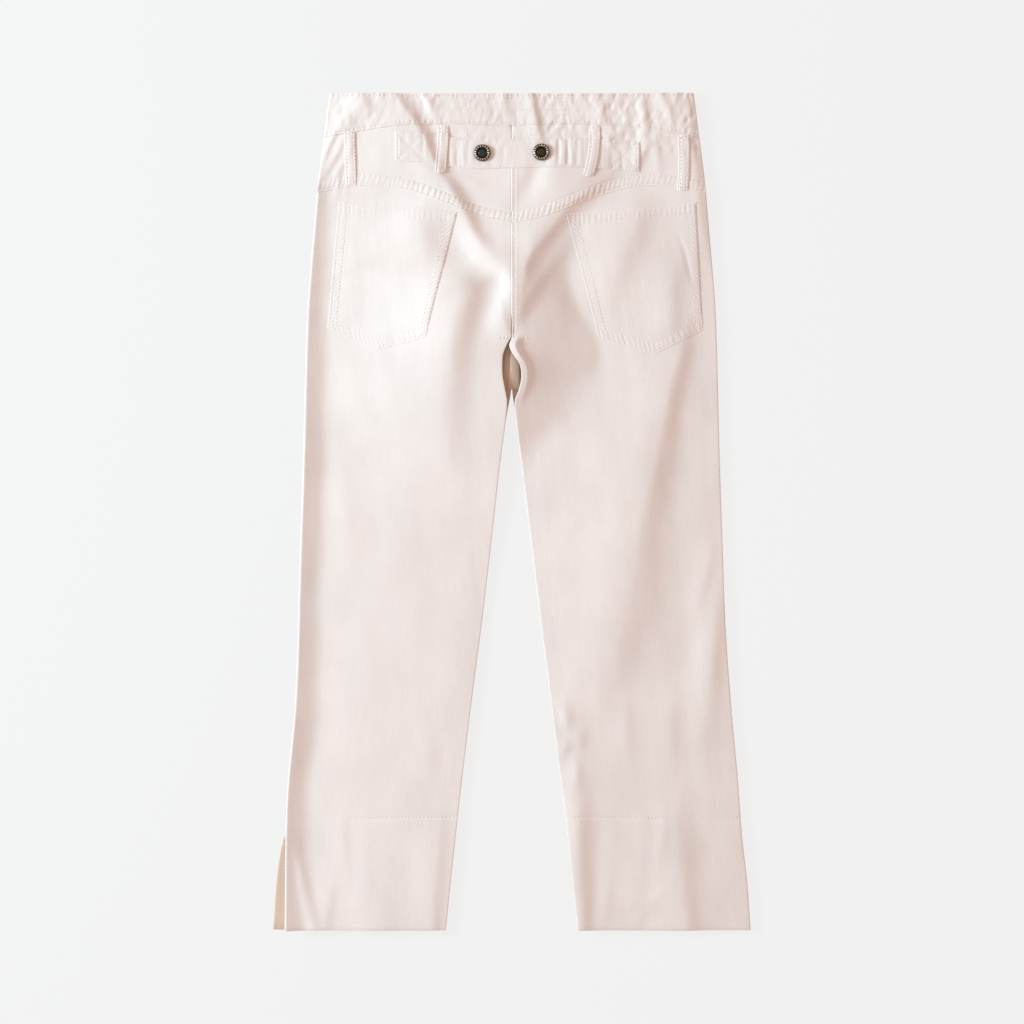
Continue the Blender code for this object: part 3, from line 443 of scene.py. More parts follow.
def tab_line(x):
    """Height of the tab's middle line."""
    return read(TAB_LINE, "height", x)


def trace(fold):
    """A fold's crest as closely spaced points: a smooth curve through its stations by path
    length."""
    table = np.array(fold, float)
    at = np.concatenate([[0], np.cumsum(np.hypot(*np.diff(table[:, :2], axis=0).T))])
    fine = np.linspace(0, at[-1], max(4, round(at[-1] / TRACE_STEP)))
    Row = namedtuple("Row", ("at",) + fold[0]._fields)
    rows = [Row(place, *row) for place, row in zip(at, table)]
    return fine, {name: read(rows, name, fine) for name in fold[0]._fields}


def fold_height(fold, x, height):
    """A fold's rise: a bell across its crest, its width and height read where the crest is
    nearest."""
    rise = np.zeros(x.shape)
    fine, crest = trace(fold)
    reach = FOLD_REACH * max(crest["left"].max(), crest["right"].max())
    near = (x > crest["x"].min() - reach) & (x < crest["x"].max() + reach)
    near &= (height > crest["height"].min() - reach) & (height < crest["height"].max() + reach)
    if not near.any():
        return rise
    px, ph = x[near][:, None], height[near][:, None]
    start_x, start_h = crest["x"][:-1], crest["height"][:-1]
    step_x, step_h = np.diff(crest["x"]), np.diff(crest["height"])
    share = ((px - start_x) * step_x + (ph - start_h) * step_h) / (step_x**2 + step_h**2)
    share = np.clip(share, 0, 1)
    off_x, off_h = px - start_x - share * step_x, ph - start_h - share * step_h
    apart = off_x**2 + off_h**2
    nearest = np.argmin(apart, axis=1)
    row = np.arange(len(nearest))
    at_side = off_h[row, nearest] * step_x[nearest] - off_x[row, nearest] * step_h[nearest]
    shortest = apart[row, nearest]
    weight = np.exp((shortest[:, None] - apart) / CREST_BLEND)
    place = (weight * (fine[:-1] + share * np.diff(fine))).sum(axis=1) / weight.sum(axis=1)
    left, right = (np.interp(place, fine, crest[name]) for name in ("left", "right"))
    width = np.where(at_side > 0, right, left)
    rise[near] = np.interp(place, fine, crest["rise"]) * np.exp(-shortest / width**2)
    return rise


def line_distance(start, end, x, height):
    """Signed distance from the line through two points."""
    along = np.array(end, float) - start
    along /= np.hypot(*along)
    return (x - start[0]) * along[1] - (height - start[1]) * along[0]


def swell(x, height, side):
    """The swell over the seat and the thighs: a bell on the left, and on the right an even slope
    that ends in a soft crease. Each leg also has a slight arch."""
    left = read(SWELL, "left", height) * bell(x, SWELL_LEFT)
    start, reach = read(SWELL, "start", height), read(SWELL, "reach", height)
    soft = 2.0 + 5.0 * smooth((570 - height) / 40)
    slope = soft * (np.logaddexp(0, (reach - x) / soft) - np.logaddexp(0, (start - x) / soft))
    power = 1 + 0.5 * smooth((565 - height) / 30) - 0.12 * smooth((height - 555) / 25)
    right = read(SWELL, "right", height) * (slope / (reach - start)) ** power
    rise = size("seat_swell") / SEAT_SWELL * np.where(side < 0, left, right)
    leg = size("leg_arch") * bell(np.abs(x) - 118 + height / 30, 70.0)
    return rise + leg * smooth((620 - height) / 200)


def gather_waves(x, height, spread=0.75):
    """Crumples, about 1 high: many short waves, upright within spread, whose places wander. A fixed
    seed keeps them the same. Their crests are flatter than their troughs."""
    chance = np.random.RandomState(GATHER_SEED)
    across = x + 1.0 * np.sin(height / 9.0 + x / 23.0) + 1.4 * np.sin(x / 9.0 + 1.0)
    along = height + 3.0 * np.sin(x / 8.0)
    rise = 0
    for _ in range(GATHER_WAVES):
        pitch = chance.uniform(4, 14)
        turn = chance.normal(0, spread)
        phase = (across * np.cos(turn) + along * np.sin(turn)) / pitch * 2 * np.pi
        rise = rise + (pitch + 3.0) / 46.0 * np.sin(phase + chance.uniform(0, 2 * np.pi))
    patches = 0.8 + 0.5 * np.sin(x / 15.0 + height / 9.0) * np.sin(x / 37.0 - height / 12.0 + 1.0)
    return (rise - 0.4 * np.abs(rise)) * patches


def gathers(x, height):
    """The waistband's gathers, and the lesser ones below its seam, which fade downwards."""
    below = band_seam(np.abs(x)) - height
    rise = np.where(below < 0, read(GATHERS, "band", x), read(GATHERS, "below", x))
    return rise * gather_waves(x, height) * smooth(1 - below / 42.0)


def crumple(x, height):
    """Faint unevenness of worn cloth: a sum of long waves in many directions, from a fixed seed."""
    chance = np.random.RandomState(CRUMPLE_SEED)
    rise = 0
    for _ in range(LONG_WAVES):
        length = chance.uniform(16, 70)
        turn = chance.uniform(0, np.pi)
        phase = (x * np.cos(turn) + height * np.sin(turn) * 0.6) / length * 2 * np.pi
        rise = rise + length * 0.0011 * np.sin(phase + chance.uniform(0, 2 * np.pi))
    wander = x + 2.0 * np.sin(height / 43.0 + x / 40.0)
    for _ in range(FINE_WAVES):
        length = chance.uniform(7, 17)
        phase = (wander + height * chance.uniform(-0.2, 0.2)) / length * 2 * np.pi
        patch = np.sin(height / chance.uniform(18, 50) + x / chance.uniform(20, 60))
        rise = rise + length * 0.0006 * patch * np.sin(phase + chance.uniform(0, 2 * np.pi))
    return rise * (1 - 0.4 * smooth((-20 - x) / 60) * smooth((560 - height) / 60))


@lru_cache(maxsize=1)
def fold_field():
    """The folds, the gathers and the unevenness together at every millimetre, worked out once."""
    columns = np.arange(-FIELD_HALF, FIELD_HALF)
    lines = np.arange(-FIELD_BELOW, LENGTH + FIELD_BELOW)
    x, height = np.meshgrid(columns, lines)
    rise = sum(fold_height(fold, x, height) for fold in FOLDS)
    return rise + gathers(x, height) + crumple(x, height)


def folded(x, height):
    """The field between its points, a smooth curve (Catmull-Rom) in either direction."""
    field = fold_field()
    places = (np.clip(x + FIELD_HALF, 1, field.shape[1] - 3),
              np.clip(height + FIELD_BELOW, 1, field.shape[0] - 3))
    (column, row), weights = [place.astype(int) for place in places], []
    for place in places:
        t = place % 1
        weights.append((t * (t * (2 - t) - 1), t * t * (3 * t - 5) + 2,
                        t * (t * (4 - 3 * t) + 1), t * t * (t - 1)))
    total = 0
    for i in range(4):
        for j in range(4):
            total = total + weights[0][i] * weights[1][j] * field[row + j - 1, column + i - 1] / 4
    return total


def back_inner_edge(height, side):
    """The inner edge of a back panel: the centre back seam, and below it the inseam."""
    left, right = read(BACK_INSEAM, "left", height), read(BACK_INSEAM, "right", height)
    return side * np.where(side < 0, left, right)


def back_outer_edge(height, side):
    """The outer edge of a back panel. The left one stops short of the outline, near the hem."""
    reveal = np.where(side < 0, read(LEFT_REVEAL, "width", height), 0.0)
    return side * (half_width(height) - reveal)


def side_rim(x, height, side):
    """The left side seam stands up along the edge, and the cloth falls away inside it in an even
    slope with a soft end."""
    inwards = (back_outer_edge(height, side) - x) * side
    reach = RIM_REACH + 2.0 - 9.0 * smooth((height - 590) / 100)
    reach = reach + 1.5 * np.sin(height / 37.0 + 2.0) + 1.0 * np.sin(height / 15.0 + 1.0)
    rim = 3.2 * np.logaddexp(0, (reach - inwards) / 3.2)
    fade = smooth((790 - height) / 60)
    return np.where(side < 0, RIM_SLOPE, 0.0) * rim * fade


def crotch_ridge(x, height, side):
    """The right inseam stands up beside the crotch: a narrow shelf along the panel's edge that ends
    in a thin bead and a steep fall."""
    outwards = (x - back_inner_edge(height, side)) * side - 6.0
    shelf = bell(outwards, np.where(outwards > 0, 4.0, 13.0))
    bead = 0.12 * bell(outwards, 1.2)
    fade = smooth((595 - height) / 9) * smooth((height - 515) / 45)
    rise = 2.4 + 1.9 * smooth((height - 560) / 20)
    return np.where(side > 0, rise, 0.0) * (shelf + bead) * fade


def cloth_top(x, height, side):
    """The outer side of the back layer above the surface, in millimetres."""
    x, height = np.broadcast_arrays(np.asarray(x, float), np.asarray(height, float))
    quiet = BODY_TOP + swell(x, height, side) + folded(x, height)
    quiet = quiet + side_rim(x, height, side) + crotch_ridge(x, height, side)
    quiet = quiet + size("hem_step") * smooth((HEM_DEPTH - height) / 3)
    outer = rounded((back_outer_edge(height, side) - x) * side, EDGE_ROUND)
    at_leg = smooth((BACK_CROTCH + 25 - height) / 40)
    inner = 1 - at_leg * (1 - rounded((x - back_inner_edge(height, side)) * side, INNER_ROUND))
    return EDGE_TOP + np.maximum(quiet - EDGE_TOP, 0) * outer * inner


def either_side(x):
    """-1 left of the middle and 1 right of it."""
    return np.where(np.asarray(x) < 0, -1, 1)


def back_top(x, height):
    """The outer side of the back layer, on either side of the middle."""
    return cloth_top(x, height, either_side(x))


def puckers(along, across, width, phase=0.0, slant=0.0):
    """Small rounded ridges with sharp troughs across a stitched seam, uneven along it, between its
    edges at 0 and width."""
    pitch = size("pucker_pitch")
    turn = (along + slant * across) / pitch * np.pi + 0.7 * np.sin(along / 9.0 + phase)
    wave = 2 * np.abs(np.sin(turn + 0.3 * np.sin(along / 3.7 + phase))) - 1.2
    uneven = 0.55 + 0.45 * np.sin(along / 13.0 + 2.0 * np.sin(along / 37.0 + phase)) ** 2
    short = 0.75 + 0.25 * np.sin(along / 2.3 + across / 1.9)
    inside = smooth((across + 1.0) / 2.5) * smooth((width + 1.0 - across) / 2.5)
    return size("pucker_rise") * wave * uneven * short * inside


def groove(distance):
    """The small trough that a row of stitches pulls into the cloth."""
    return -size("stitch_sink") * bell(distance, 0.8)


# ---------------------------------------------------------------- sizes and colours to change


def length_size(name, description, default_mm):
    """A length property whose default is given in millimetres."""
    return FloatProperty(name=name, description=description, default=default_mm * MM,
                         unit="LENGTH", precision=5)


def colour_of(name, description, code):
    """A colour property whose default is an sRGB hex code."""
    return FloatVectorProperty(name=name, description=description, default=linear(code), size=4,
                               subtype="COLOR")


class TrouserSizes(bpy.types.PropertyGroup):
    """Sizes of the cloth, the seams and the stitches."""

    wall: length_size("Cloth", "Thickness of one layer of cloth", 1.2)
    pocket_wall: length_size("Pockets", "Thickness of the pressed pockets", 0.5)
    band_wall: length_size("Waistband", "Thickness of the doubled waistband", 1.8)
    strap_wall: length_size("Straps", "Thickness of the pressed tab and belt loops", 1.1)
    seat_swell: length_size("Seat swell", "How far the cloth rises over the seat", SEAT_SWELL)
    leg_arch: length_size("Leg arch", "How far each leg rises along its middle", 0.9)
    hem_step: length_size("Hem step", "How far the turned-up hem raises the cloth", 0.35)
    seam_width: length_size("Felled seam", "Width of a felled seam", 11.0)
    seam_rise: length_size("Seam rise", "How far a felled seam stands out", 0.35)
    pucker_pitch: length_size("Pucker spacing", "Spacing of the puckers along a seam", 5.0)
    pucker_rise: length_size("Pucker rise", "Height of the puckers along a seam", 0.34)
    stitch_pitch: length_size("Stitch length", "Length of one stitch with its gap", 3.6)
    thread: length_size("Thread", "Thickness of the sewing thread", 0.75)
    stitch_sink: length_size("Stitch sink", "Depth of the trough along a row of stitches", 0.5)
    weave: length_size("Twill line", "Spacing of the twill's diagonal lines", 1.5)


class TrouserColours(bpy.types.PropertyGroup):
    """Colours of the cloth, the thread, the caps and the stage."""

    cloth: colour_of("Cloth", "Outer face of the cotton", "f3e8e3")
    # Partly the inner face's own tone and partly painted shade: it is darker and warmer than the
    # outer face to stand in for the shade and warm bounce light in the crotch and the vents.
    inside: colour_of("Cloth inside", "Inner face of the cotton", "dcc2ad")
    thread: colour_of("Thread", "Sewing thread", "f6ebe4")
    bronze: colour_of("Cap", "Blackened bronze of the caps", "2e2620")
    polished: colour_of("Cap dots", "Worn high points of the caps", "e6cfb8")
    floor: colour_of("Floor", "Pale studio floor", "505050")
    key: colour_of("Key light", "Cool daylight from the left", "caf1ff")
    room: colour_of("Room light", "Warm light from all round", "ffe4d9")


class StudioSettings(bpy.types.PropertyGroup):
    """Camera and lights."""

    lens: FloatProperty(name="Lens", description="Focal length", default=85.0, unit="CAMERA")
    key: FloatProperty(name="Key light", description="Power from the left", default=62.5,
                       unit="POWER")
    room: FloatProperty(name="Room light", description="Strength of the room", default=0.65)
    floor_glow: FloatProperty(name="Floor glow", description="Light of the floor", default=0.81)


def size(name):
    """A size in millimetres from the panel."""
    return getattr(bpy.context.scene.trouser_sizes, name) / MM


def colour(name):
    """A linear colour from the panel."""
    return tuple(getattr(bpy.context.scene.trouser_colours, name))


# ---------------------------------------------------------------- materials


def put(node, **values):
    """Sets a node's input values. An underscore in a name stands for a space."""
    for key, value in values.items():
        node.inputs[key.replace("_", " ")].default_value = value


def add(tree, kind, links=None, **settings):
    """Adds a node, sets its properties and input values, and links its inputs."""
    node = tree.nodes.new(kind)
    for key, value in settings.items():
        if hasattr(node, key):
            setattr(node, key, value)
        else:
            put(node, **{key: value})
    for key, source in (links or {}).items():
        tree.links.new(source, node.inputs[key])
    return node


def new_material(name):
    """An empty node material with its Principled shader."""
    made = bpy.data.materials.new(name)
    made.use_nodes = True
    return made, made.node_tree, made.node_tree.nodes["Principled BSDF"]


def twill_material(name, base, roughness, depth):
    """Washed cotton twill: a matte face with fine diagonal lines, soft slubs along the warp, faint
    pale and warm patches from washing, and a short nap that lightens it at grazing angles."""
    made, tree, shader = new_material(name)
    place = add(tree, "ShaderNodeUVMap", uv_map="cloth")
    per_line = 1 / (size("weave") * MM)
    on_cloth = {"Vector": place.outputs[0]}
    turned = add(tree, "ShaderNodeMapping", on_cloth, Rotation=(0, 0, math.radians(58)))
    twill = add(tree, "ShaderNodeTexWave", {"Vector": turned.outputs[0]}, wave_type="BANDS",
                Scale=per_line * math.pi / 10, Distortion=1.5, Detail=2.0, Detail_Scale=3.0)
    warp = add(tree, "ShaderNodeMapping", on_cloth, Scale=(1.0, 0.09, 1.0))
    # Slubs are about 2 mm wide and 20 mm long, grains about 1 mm, and washed patches about 70 mm.
    slub = add(tree, "ShaderNodeTexNoise", {"Vector": warp.outputs[0]}, Scale=520.0, Detail=3.0)
    grain = add(tree, "ShaderNodeTexNoise", on_cloth, Scale=900.0, Detail=2.0)
    patches = add(tree, "ShaderNodeTexNoise", on_cloth, Scale=14.0, Detail=4.0)
    streaks = add(tree, "ShaderNodeMix", {"A": slub.outputs[0], "B": grain.outputs[0]}, Factor=0.45)
    tone = add(tree, "ShaderNodeMapRange", {"Value": patches.outputs[0]},
               From_Min=0.3, From_Max=0.7, To_Min=0.955, To_Max=1.03)
    fine = add(tree, "ShaderNodeMapRange", {"Value": streaks.outputs[0]},
               From_Min=0.3, From_Max=0.7, To_Min=0.965, To_Max=1.03)
    both = add(tree, "ShaderNodeMath", {0: tone.outputs[0], 1: fine.outputs[0]},
               operation="MULTIPLY")
    hue = add(tree, "ShaderNodeHueSaturation", {"Value": both.outputs[0]}, Color=base)
    tree.links.new(hue.outputs[0], shader.inputs["Base Color"])
    weave = add(tree, "ShaderNodeMath", {0: twill.outputs[0], 1: streaks.outputs[0]},
                operation="ADD")
    bump = add(tree, "ShaderNodeBump", {"Height": weave.outputs[0]}, Strength=depth,
               Distance=0.25 * MM)
    tree.links.new(bump.outputs[0], shader.inputs["Normal"])
    put(shader, Roughness=roughness, Specular_IOR_Level=0.25, Sheen_Weight=0.18,
        Sheen_Roughness=0.45)
    return made


def thread_material():
    """Cotton-wrapped polyester thread: a soft lustre, and fibres that show as a fine grain."""
    made, tree, shader = new_material("cotton_thread")
    place = add(tree, "ShaderNodeTexCoord")
    grain = add(tree, "ShaderNodeTexNoise", {"Vector": place.outputs["Object"]}, Scale=1500.0)
    tone = add(tree, "ShaderNodeMapRange", {"Value": grain.outputs[0]},
               From_Min=0.3, From_Max=0.7, To_Min=0.9, To_Max=1.05)
    hue = add(tree, "ShaderNodeHueSaturation", {"Value": tone.outputs[0]}, Color=colour("thread"))
    tree.links.new(hue.outputs[0], shader.inputs["Base Color"])
    put(shader, Roughness=0.6, Sheen_Weight=0.2)
    return made


def bronze_material(name, centre):
    """Blackened, lightly worn bronze: dark lacquer in the hollows, rubbed bare metal on the
    dots."""
    made, tree, shader = new_material(name)
    worn = add(tree, "ShaderNodeAttribute", attribute_name="worn")
    middle = add(tree, "ShaderNodeAttribute", attribute_name="middle")
    place = add(tree, "ShaderNodeTexCoord")
    noise = add(tree, "ShaderNodeTexNoise", {"Vector": place.outputs["Object"]}, Scale=900.0,
                Detail=4.0)
    wear = add(tree, "ShaderNodeMath", {0: worn.outputs["Fac"], 1: noise.outputs[0]},
               operation="MULTIPLY")
    much = add(tree, "ShaderNodeMapRange", {"Value": wear.outputs[0]}, From_Min=0.15, From_Max=0.5)
    dark = add(tree, "ShaderNodeMix", {"Factor": middle.outputs["Fac"]}, data_type="RGBA")
    put(dark, A=colour("bronze"), B=centre)
    skin = add(tree, "ShaderNodeMix", {"Factor": much.outputs[0], "A": dark.outputs["Result"]},
               data_type="RGBA")
    put(skin, B=colour("polished"))
    tree.links.new(skin.outputs["Result"], shader.inputs["Base Color"])
    bump = add(tree, "ShaderNodeBump", {"Height": noise.outputs[0]}, Strength=0.25,
               Distance=0.1 * MM)
    tree.links.new(bump.outputs[0], shader.inputs["Normal"])
    put(shader, Metallic=0.85, Roughness=0.38)
    return made


def finish_of(name):
    """A material by name, made the first time it is asked for. The cotton has its roughness and the
    depth of its weave, and the caps the colour of their middle."""
    maker, *values = {
        "cotton_twill": (twill_material, name, colour("cloth"), 0.88, 0.35),
        # The inside copy of the twill carries painted shade in its darker, warmer colour.
        "cotton_twill_inside": (twill_material, name, colour("inside"), 0.92, 0.3),
        "cotton_thread": (thread_material,),
        "bronze_cap_left": (bronze_material, name, linear("3b4a44")),
        "bronze_cap_right": (bronze_material, name, linear("4f4038")),
    }[name]
    return bpy.data.materials.get(name) or maker(*values)


# ---------------------------------------------------------------- meshes


def new_object(name, points, faces, finish, uv=None):
    """A smooth mesh object from points in millimetres, with an optional UV pair for each point."""
    mesh = bpy.data.meshes.new(name)
    mesh.from_pydata((points * MM).tolist(), [], faces)
    mesh.shade_smooth()
    if uv is not None:
        corner = np.empty(len(mesh.loops), np.int32)
        mesh.loops.foreach_get("vertex_index", corner)
        layer = mesh.uv_layers.new(name="cloth")
        layer.uv.foreach_set("vector", (uv[corner] * MM).ravel())
    mesh.materials.append(finish_of(finish))
    made = bpy.data.objects.new(name, mesh)
    bpy.context.scene.collection.objects.link(made)
    return made


def grid_points(x, height, top):
    """A grid of points in the frame's axes, in millimetres, the hem at CAD_LOW.y."""
    x, height, top = np.broadcast_arrays(x, height, top)
    return np.stack([x, height + CAD_LOW.y / MM, top], axis=-1).astype(float)


def as_path(x, height):
    """A path from the x and the height of its points, either of which may be a single number."""
    return np.stack(np.broadcast_arrays(x, height), -1)


def unit(vectors):
    """The vectors at length one."""
    return vectors / np.linalg.norm(vectors, axis=-1, keepdims=True)


def shell(name, outer, wall, finish, flat_below=None, lip_reach=LIP):
    """A closed wall of cloth. Its outer side is the grid, its inner side is the grid moved back
    along the normals, or level at flat_below, and a half-round lip joins the two along the
    border."""
    rows, columns = outer.shape[:2]
    across, down = np.gradient(outer, axis=1), np.gradient(outer, axis=0)
    normal = unit(np.cross(across, down))
    if normal[..., 2].mean() < 0:
        normal = -normal
    if flat_below is None:
        inner = outer - normal * wall
    else:
        inner = outer.copy()
        inner[..., 2] = flat_below
    index = np.arange(rows * columns).reshape(rows, columns)
    loop = np.concatenate([index[0, :-1], index[:-1, -1], index[-1, :0:-1], index[:0:-1, 0]])
    flat_outer, flat_inner = outer.reshape(-1, 3), inner.reshape(-1, 3)
    rim_out, rim_in = flat_outer[loop], flat_inner[loop]
    along = unit(np.roll(rim_out, -1, axis=0) - np.roll(rim_out, 1, axis=0))
    away = unit(np.cross(along, normal.reshape(-1, 3)[loop]))
    if np.sum(away * (rim_out - flat_outer.mean(axis=0))) < 0:
        away = -away
    middle, half = (rim_out + rim_in) / 2, (rim_out - rim_in) / 2
    angles = np.linspace(0, np.pi, 5)[1:-1, None, None]
    lip = middle + np.cos(angles) * half + np.sin(angles) * away * lip_reach
    count = rows * columns
    points = np.concatenate([flat_outer, flat_inner, lip.reshape(-1, 3)])
    rings = [loop, *(2 * count + k * len(loop) + np.arange(len(loop)) for k in range(3)),
             loop + count]
    quads = np.stack([index[:-1, :-1], index[:-1, 1:], index[1:, 1:], index[1:, :-1]], -1)
    around = [np.stack([a, np.roll(a, -1), np.roll(b, -1), b], -1)
              for a, b in zip(rings, rings[1:])]
    top_faces, lip_faces = quads.reshape(-1, 4), np.concatenate(around)
    if np.cross(across, down)[..., 2].mean() > 0:
        lip_faces = lip_faces[:, ::-1]
    else:
        top_faces = top_faces[:, ::-1]
    faces = np.concatenate([top_faces, top_faces[:, ::-1] + count, lip_faces])
    uv = np.concatenate([flat_outer[:, :2], flat_inner[:, :2], np.tile(rim_out[:, :2], (3, 1))])
    return new_object(name, points, faces.tolist(), finish, uv)


def even_steps(path, pitch):
    """Points spaced evenly along a path of (x, height) corners, with their directions: each lies
    midway between its own two ends, half a step back and half a step on."""
    path = np.asarray(path, float)
    lengths = np.concatenate([[0], np.cumsum(np.linalg.norm(np.diff(path, axis=0), axis=1))])
    count = max(2, int(lengths[-1] / pitch))
    at = (np.arange(count) + 0.5) * lengths[-1] / count
    ends = [as_path(*(np.interp(at + s, lengths, path[:, i]) for i in (0, 1))) for s in (-0.5, 0.5)]
    return (ends[0] + ends[1]) / 2, unit(ends[1] - ends[0])


def stitches(name, rows, lift=0.3):
    """Rows of stitches: slim six-sided grains of thread, each turned along its path and slope. rows
    holds pairs of a path and the function that gives its surface's height. lift is how far their
    middles lie above it, as a share of the thread."""
    ring = np.linspace(0, 2 * np.pi, 6, endpoint=False)
    stations = np.array([-0.82, 0.0, 0.82])
    radii = np.sqrt(1 - stations**2)
    body = np.array([(s, r * np.cos(a), r * np.sin(a))
                     for s, r in zip(stations, radii) for a in ring])
    grain = np.concatenate([[(-1, 0, 0)], body, [(1, 0, 0)]])
    turn = np.arange(6)
    start = [(0, 1 + (i + 1) % 6, 1 + i) for i in turn]
    sides = [(1 + 6 * k + i, 1 + 6 * k + (i + 1) % 6, 7 + 6 * k + (i + 1) % 6, 7 + 6 * k + i)
             for k in (0, 1) for i in turn]
    end = [(13 + i, 13 + (i + 1) % 6, 19) for i in turn]
    pitch, thread = size("stitch_pitch"), size("thread")
    reach = 0.35 * pitch  # the slope is taken this far ahead and behind
    centres, alongs = [], []
    for path, top in rows:
        spots, heading = even_steps(path, pitch)
        ahead, behind = spots + heading * reach, spots - heading * reach
        slope = (top(*ahead.T) - top(*behind.T)) / (2 * reach)
        centres.append(grid_points(*spots.T, top(*spots.T) + lift * thread))
        alongs.append(unit(np.stack([*heading.T, slope], -1)))
    centre, along = np.concatenate(centres), np.concatenate(alongs)
    sideways = unit(np.cross(along, (0, 0, 1.0)))
    upwards = np.cross(sideways, along)
    scale = np.array([0.27 * pitch, thread / 2, thread / 2])
    axes = np.stack([along, sideways, upwards], axis=1)
    points = centre[:, None, :] + np.einsum("gk,nkx->ngx", grain * scale, axes)
    offsets = (np.arange(len(centre)) * len(grain)).tolist()
    faces = [tuple(i + o for i in face) for o in offsets for face in start + sides + end]
    return new_object(name, points.reshape(-1, 3), faces, "cotton_thread")


def settle(piece, nodes=()):
    """Ties a piece to the frame: it rides on the one body and stands for its CAD nodes, which are
    hidden."""
    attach(piece, "root")
    if nodes:
        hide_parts(*nodes)
    return piece


def make_cloth(name, node, grid, top, wall, rests_on=(), thread="", rows=(), lift=0.3,
               finish="cotton_twill", **form):
    """One piece of cloth: a closed wall on its grid, whose outer side is at the height top, with
    its rows of stitches as a piece of their own, called thread. Both are tied to the frame."""
    cloth = shell(name, grid_points(*grid, top(*grid)), wall, finish, **form)
    threads = [settle(stitches(thread, rows, lift))] if rows else []
    settle(cloth, [node] if node else ())


# ---------------------------------------------------------------- the pieces


def panel_grid(side):
    """Grid of a back panel: columns from its inner to its outer edge, rows from yoke seam to hem,
    closer together over the seat and along the hem's stitching."""
    share = clustered(170.0, 2.4, 16.0, 1.1)[None, :]
    top = YOKE_SEAM[0].height
    down = np.concatenate([np.arange(0, top - 470, 2.5), np.arange(top - 470, top - 120, 4.0),
                           np.arange(top - 120, top - 108, 1.0),
                           np.arange(top - 108, top + 1, 4.0)])
    down = (down / down[-1])[:, None]
    upper = yoke_seam(share * YOKE_SEAM[-1].across) - HALF_GAP - LIP
    height = upper * (1 - down) + LIP * down
    inner, outer = back_inner_edge(height, side), back_outer_edge(height, side)
    return inner + side * LIP + (outer - inner - 2 * side * LIP) * share, height


def yoke_grid(side):
    """Grid of a yoke half: columns from centre back to the side, rows from its seam with the leg to
    a few millimetres under the waistband."""
    share = clustered(188.0, 1.7, 12.0, 1.1)[None, :]
    up = np.linspace(0, 1, 48)[:, None]
    low = yoke_seam(share * YOKE_SEAM[-1].across) + HALF_GAP + LIP
    high = band_seam(share * BAND_SEAM[-1].across) + UNDER_BAND
    height = low + (high - low) * up
    outer = half_width(height) - LIP
    return side * (LIP + HALF_GAP + (outer - LIP - HALF_GAP) * share), height


def yoke_top(x, height):
    """A yoke's outer side: the back layer, which dips where the waistband covers it."""
    past = height - band_seam(np.abs(x))
    return back_top(x, height) - 1.6 * smooth((past + 0.6) / 1.8)


def band_grid():
    """Grid of the back waistband: columns from side to side, rows from its seam to the waist."""
    share = 2 * clustered(370.0, 1.4, 10.0, 0.8)[None, :] - 1
    up = clustered(34.0, 1.2, 5.0, 0.5)[:, None]
    low = band_seam(np.abs(share) * BAND_SEAM[-1].across) + HALF_GAP + LIP
    height = low + (LENGTH - LIP - low) * up
    return share * (half_width(height) - LIP), height


def band_top(x, height):
    """The waistband's outer side: the back layer, a doubled layer higher, with its stitch
    troughs."""
    extra = size("band_wall") - size("wall")
    seam = height - band_seam(np.abs(x))
    edge = LENGTH - height
    pucker = puckers(x, seam, 5.0) + puckers(x + 2, edge, 5.0, 1.0)
    troughs = back_top(x, height) + extra + groove(seam - BAND_ROW) + groove(edge - BAND_ROW)
    return troughs + pucker


def front_grid(side):
    """Grid of a front panel: columns from its inner to its outer edge, rows from seam to hem."""
    share = clustered(180.0, 12.0, 6.0, 1.5)[None, :]
    down = np.linspace(0, 1, 90)[:, None]
    upper = read(FRONT_BAND_SEAM, "height", share * FRONT_BAND_SEAM[-1].across) - HALF_GAP - LIP
    height = upper * (1 - down) + LIP * down
    inner = read(FRONT_INSEAM, "left" if side < 0 else "right", height)
    outer = half_width(height)
    if side > 0:
        outer = outer - RIGHT_REVEAL * smooth((VENT_TOP - height) / VENT_TOP)
    else:
        outer = outer - np.maximum(read(LEFT_INSET, "width", height), 0)
    return side * (inner + LIP + (outer - inner - 2 * LIP) * share), height


def front_top(x, height):
    """The front layer's upper side: flat, but drawn up a little at the crotch."""
    return FRONT_WALL + FRONT_RISE * np.exp(-((x / 24.0) ** 2) - ((height - 575) / 46.0) ** 2)


def front_band_grid(side):
    """Grid of a front waistband half, from its seam up to its dipped edge."""
    share = np.linspace(0, 1, 30)[None, :]
    up = np.linspace(0, 1, 8)[:, None]
    low = read(FRONT_BAND_SEAM, "height", share * FRONT_BAND_SEAM[-1].across) + HALF_GAP + LIP
    high = LENGTH - LIP - FRONT_DIP * smooth(1 - share)
    height = low + (high - low) * up
    return side * (LIP + HALF_GAP + (half_width(height) - 2 * LIP - HALF_GAP) * share), height


def pocket_edges(pocket):
    """The pocket's four edges as functions of a share, the bottom one bent at its tip."""
    corners = {k: np.array(getattr(pocket, k)) for k in pocket._fields[2:]}

    def along(points):
        points = np.array(points)
        lengths = np.linalg.norm(np.diff(points, axis=0), axis=1)
        at = np.concatenate([[0], np.cumsum(lengths)]) / lengths.sum()
        return lambda s: as_path(*(np.interp(s, at, points[:, i]) for i in (0, 1)))

    bow = (corners["inner_top"] + corners["outer_top"]) / 2 + (0, POCKET_TOP_BOW)
    return {
        "top": along([corners["inner_top"], bow, corners["outer_top"]]),
        "bottom": along([corners["inner_bottom"], corners["tip"], corners["outer_bottom"]]),
        "inner": along([corners["inner_top"], corners["inner_bottom"]]),
        "outer": along([corners["outer_top"], corners["outer_bottom"]]),
    }


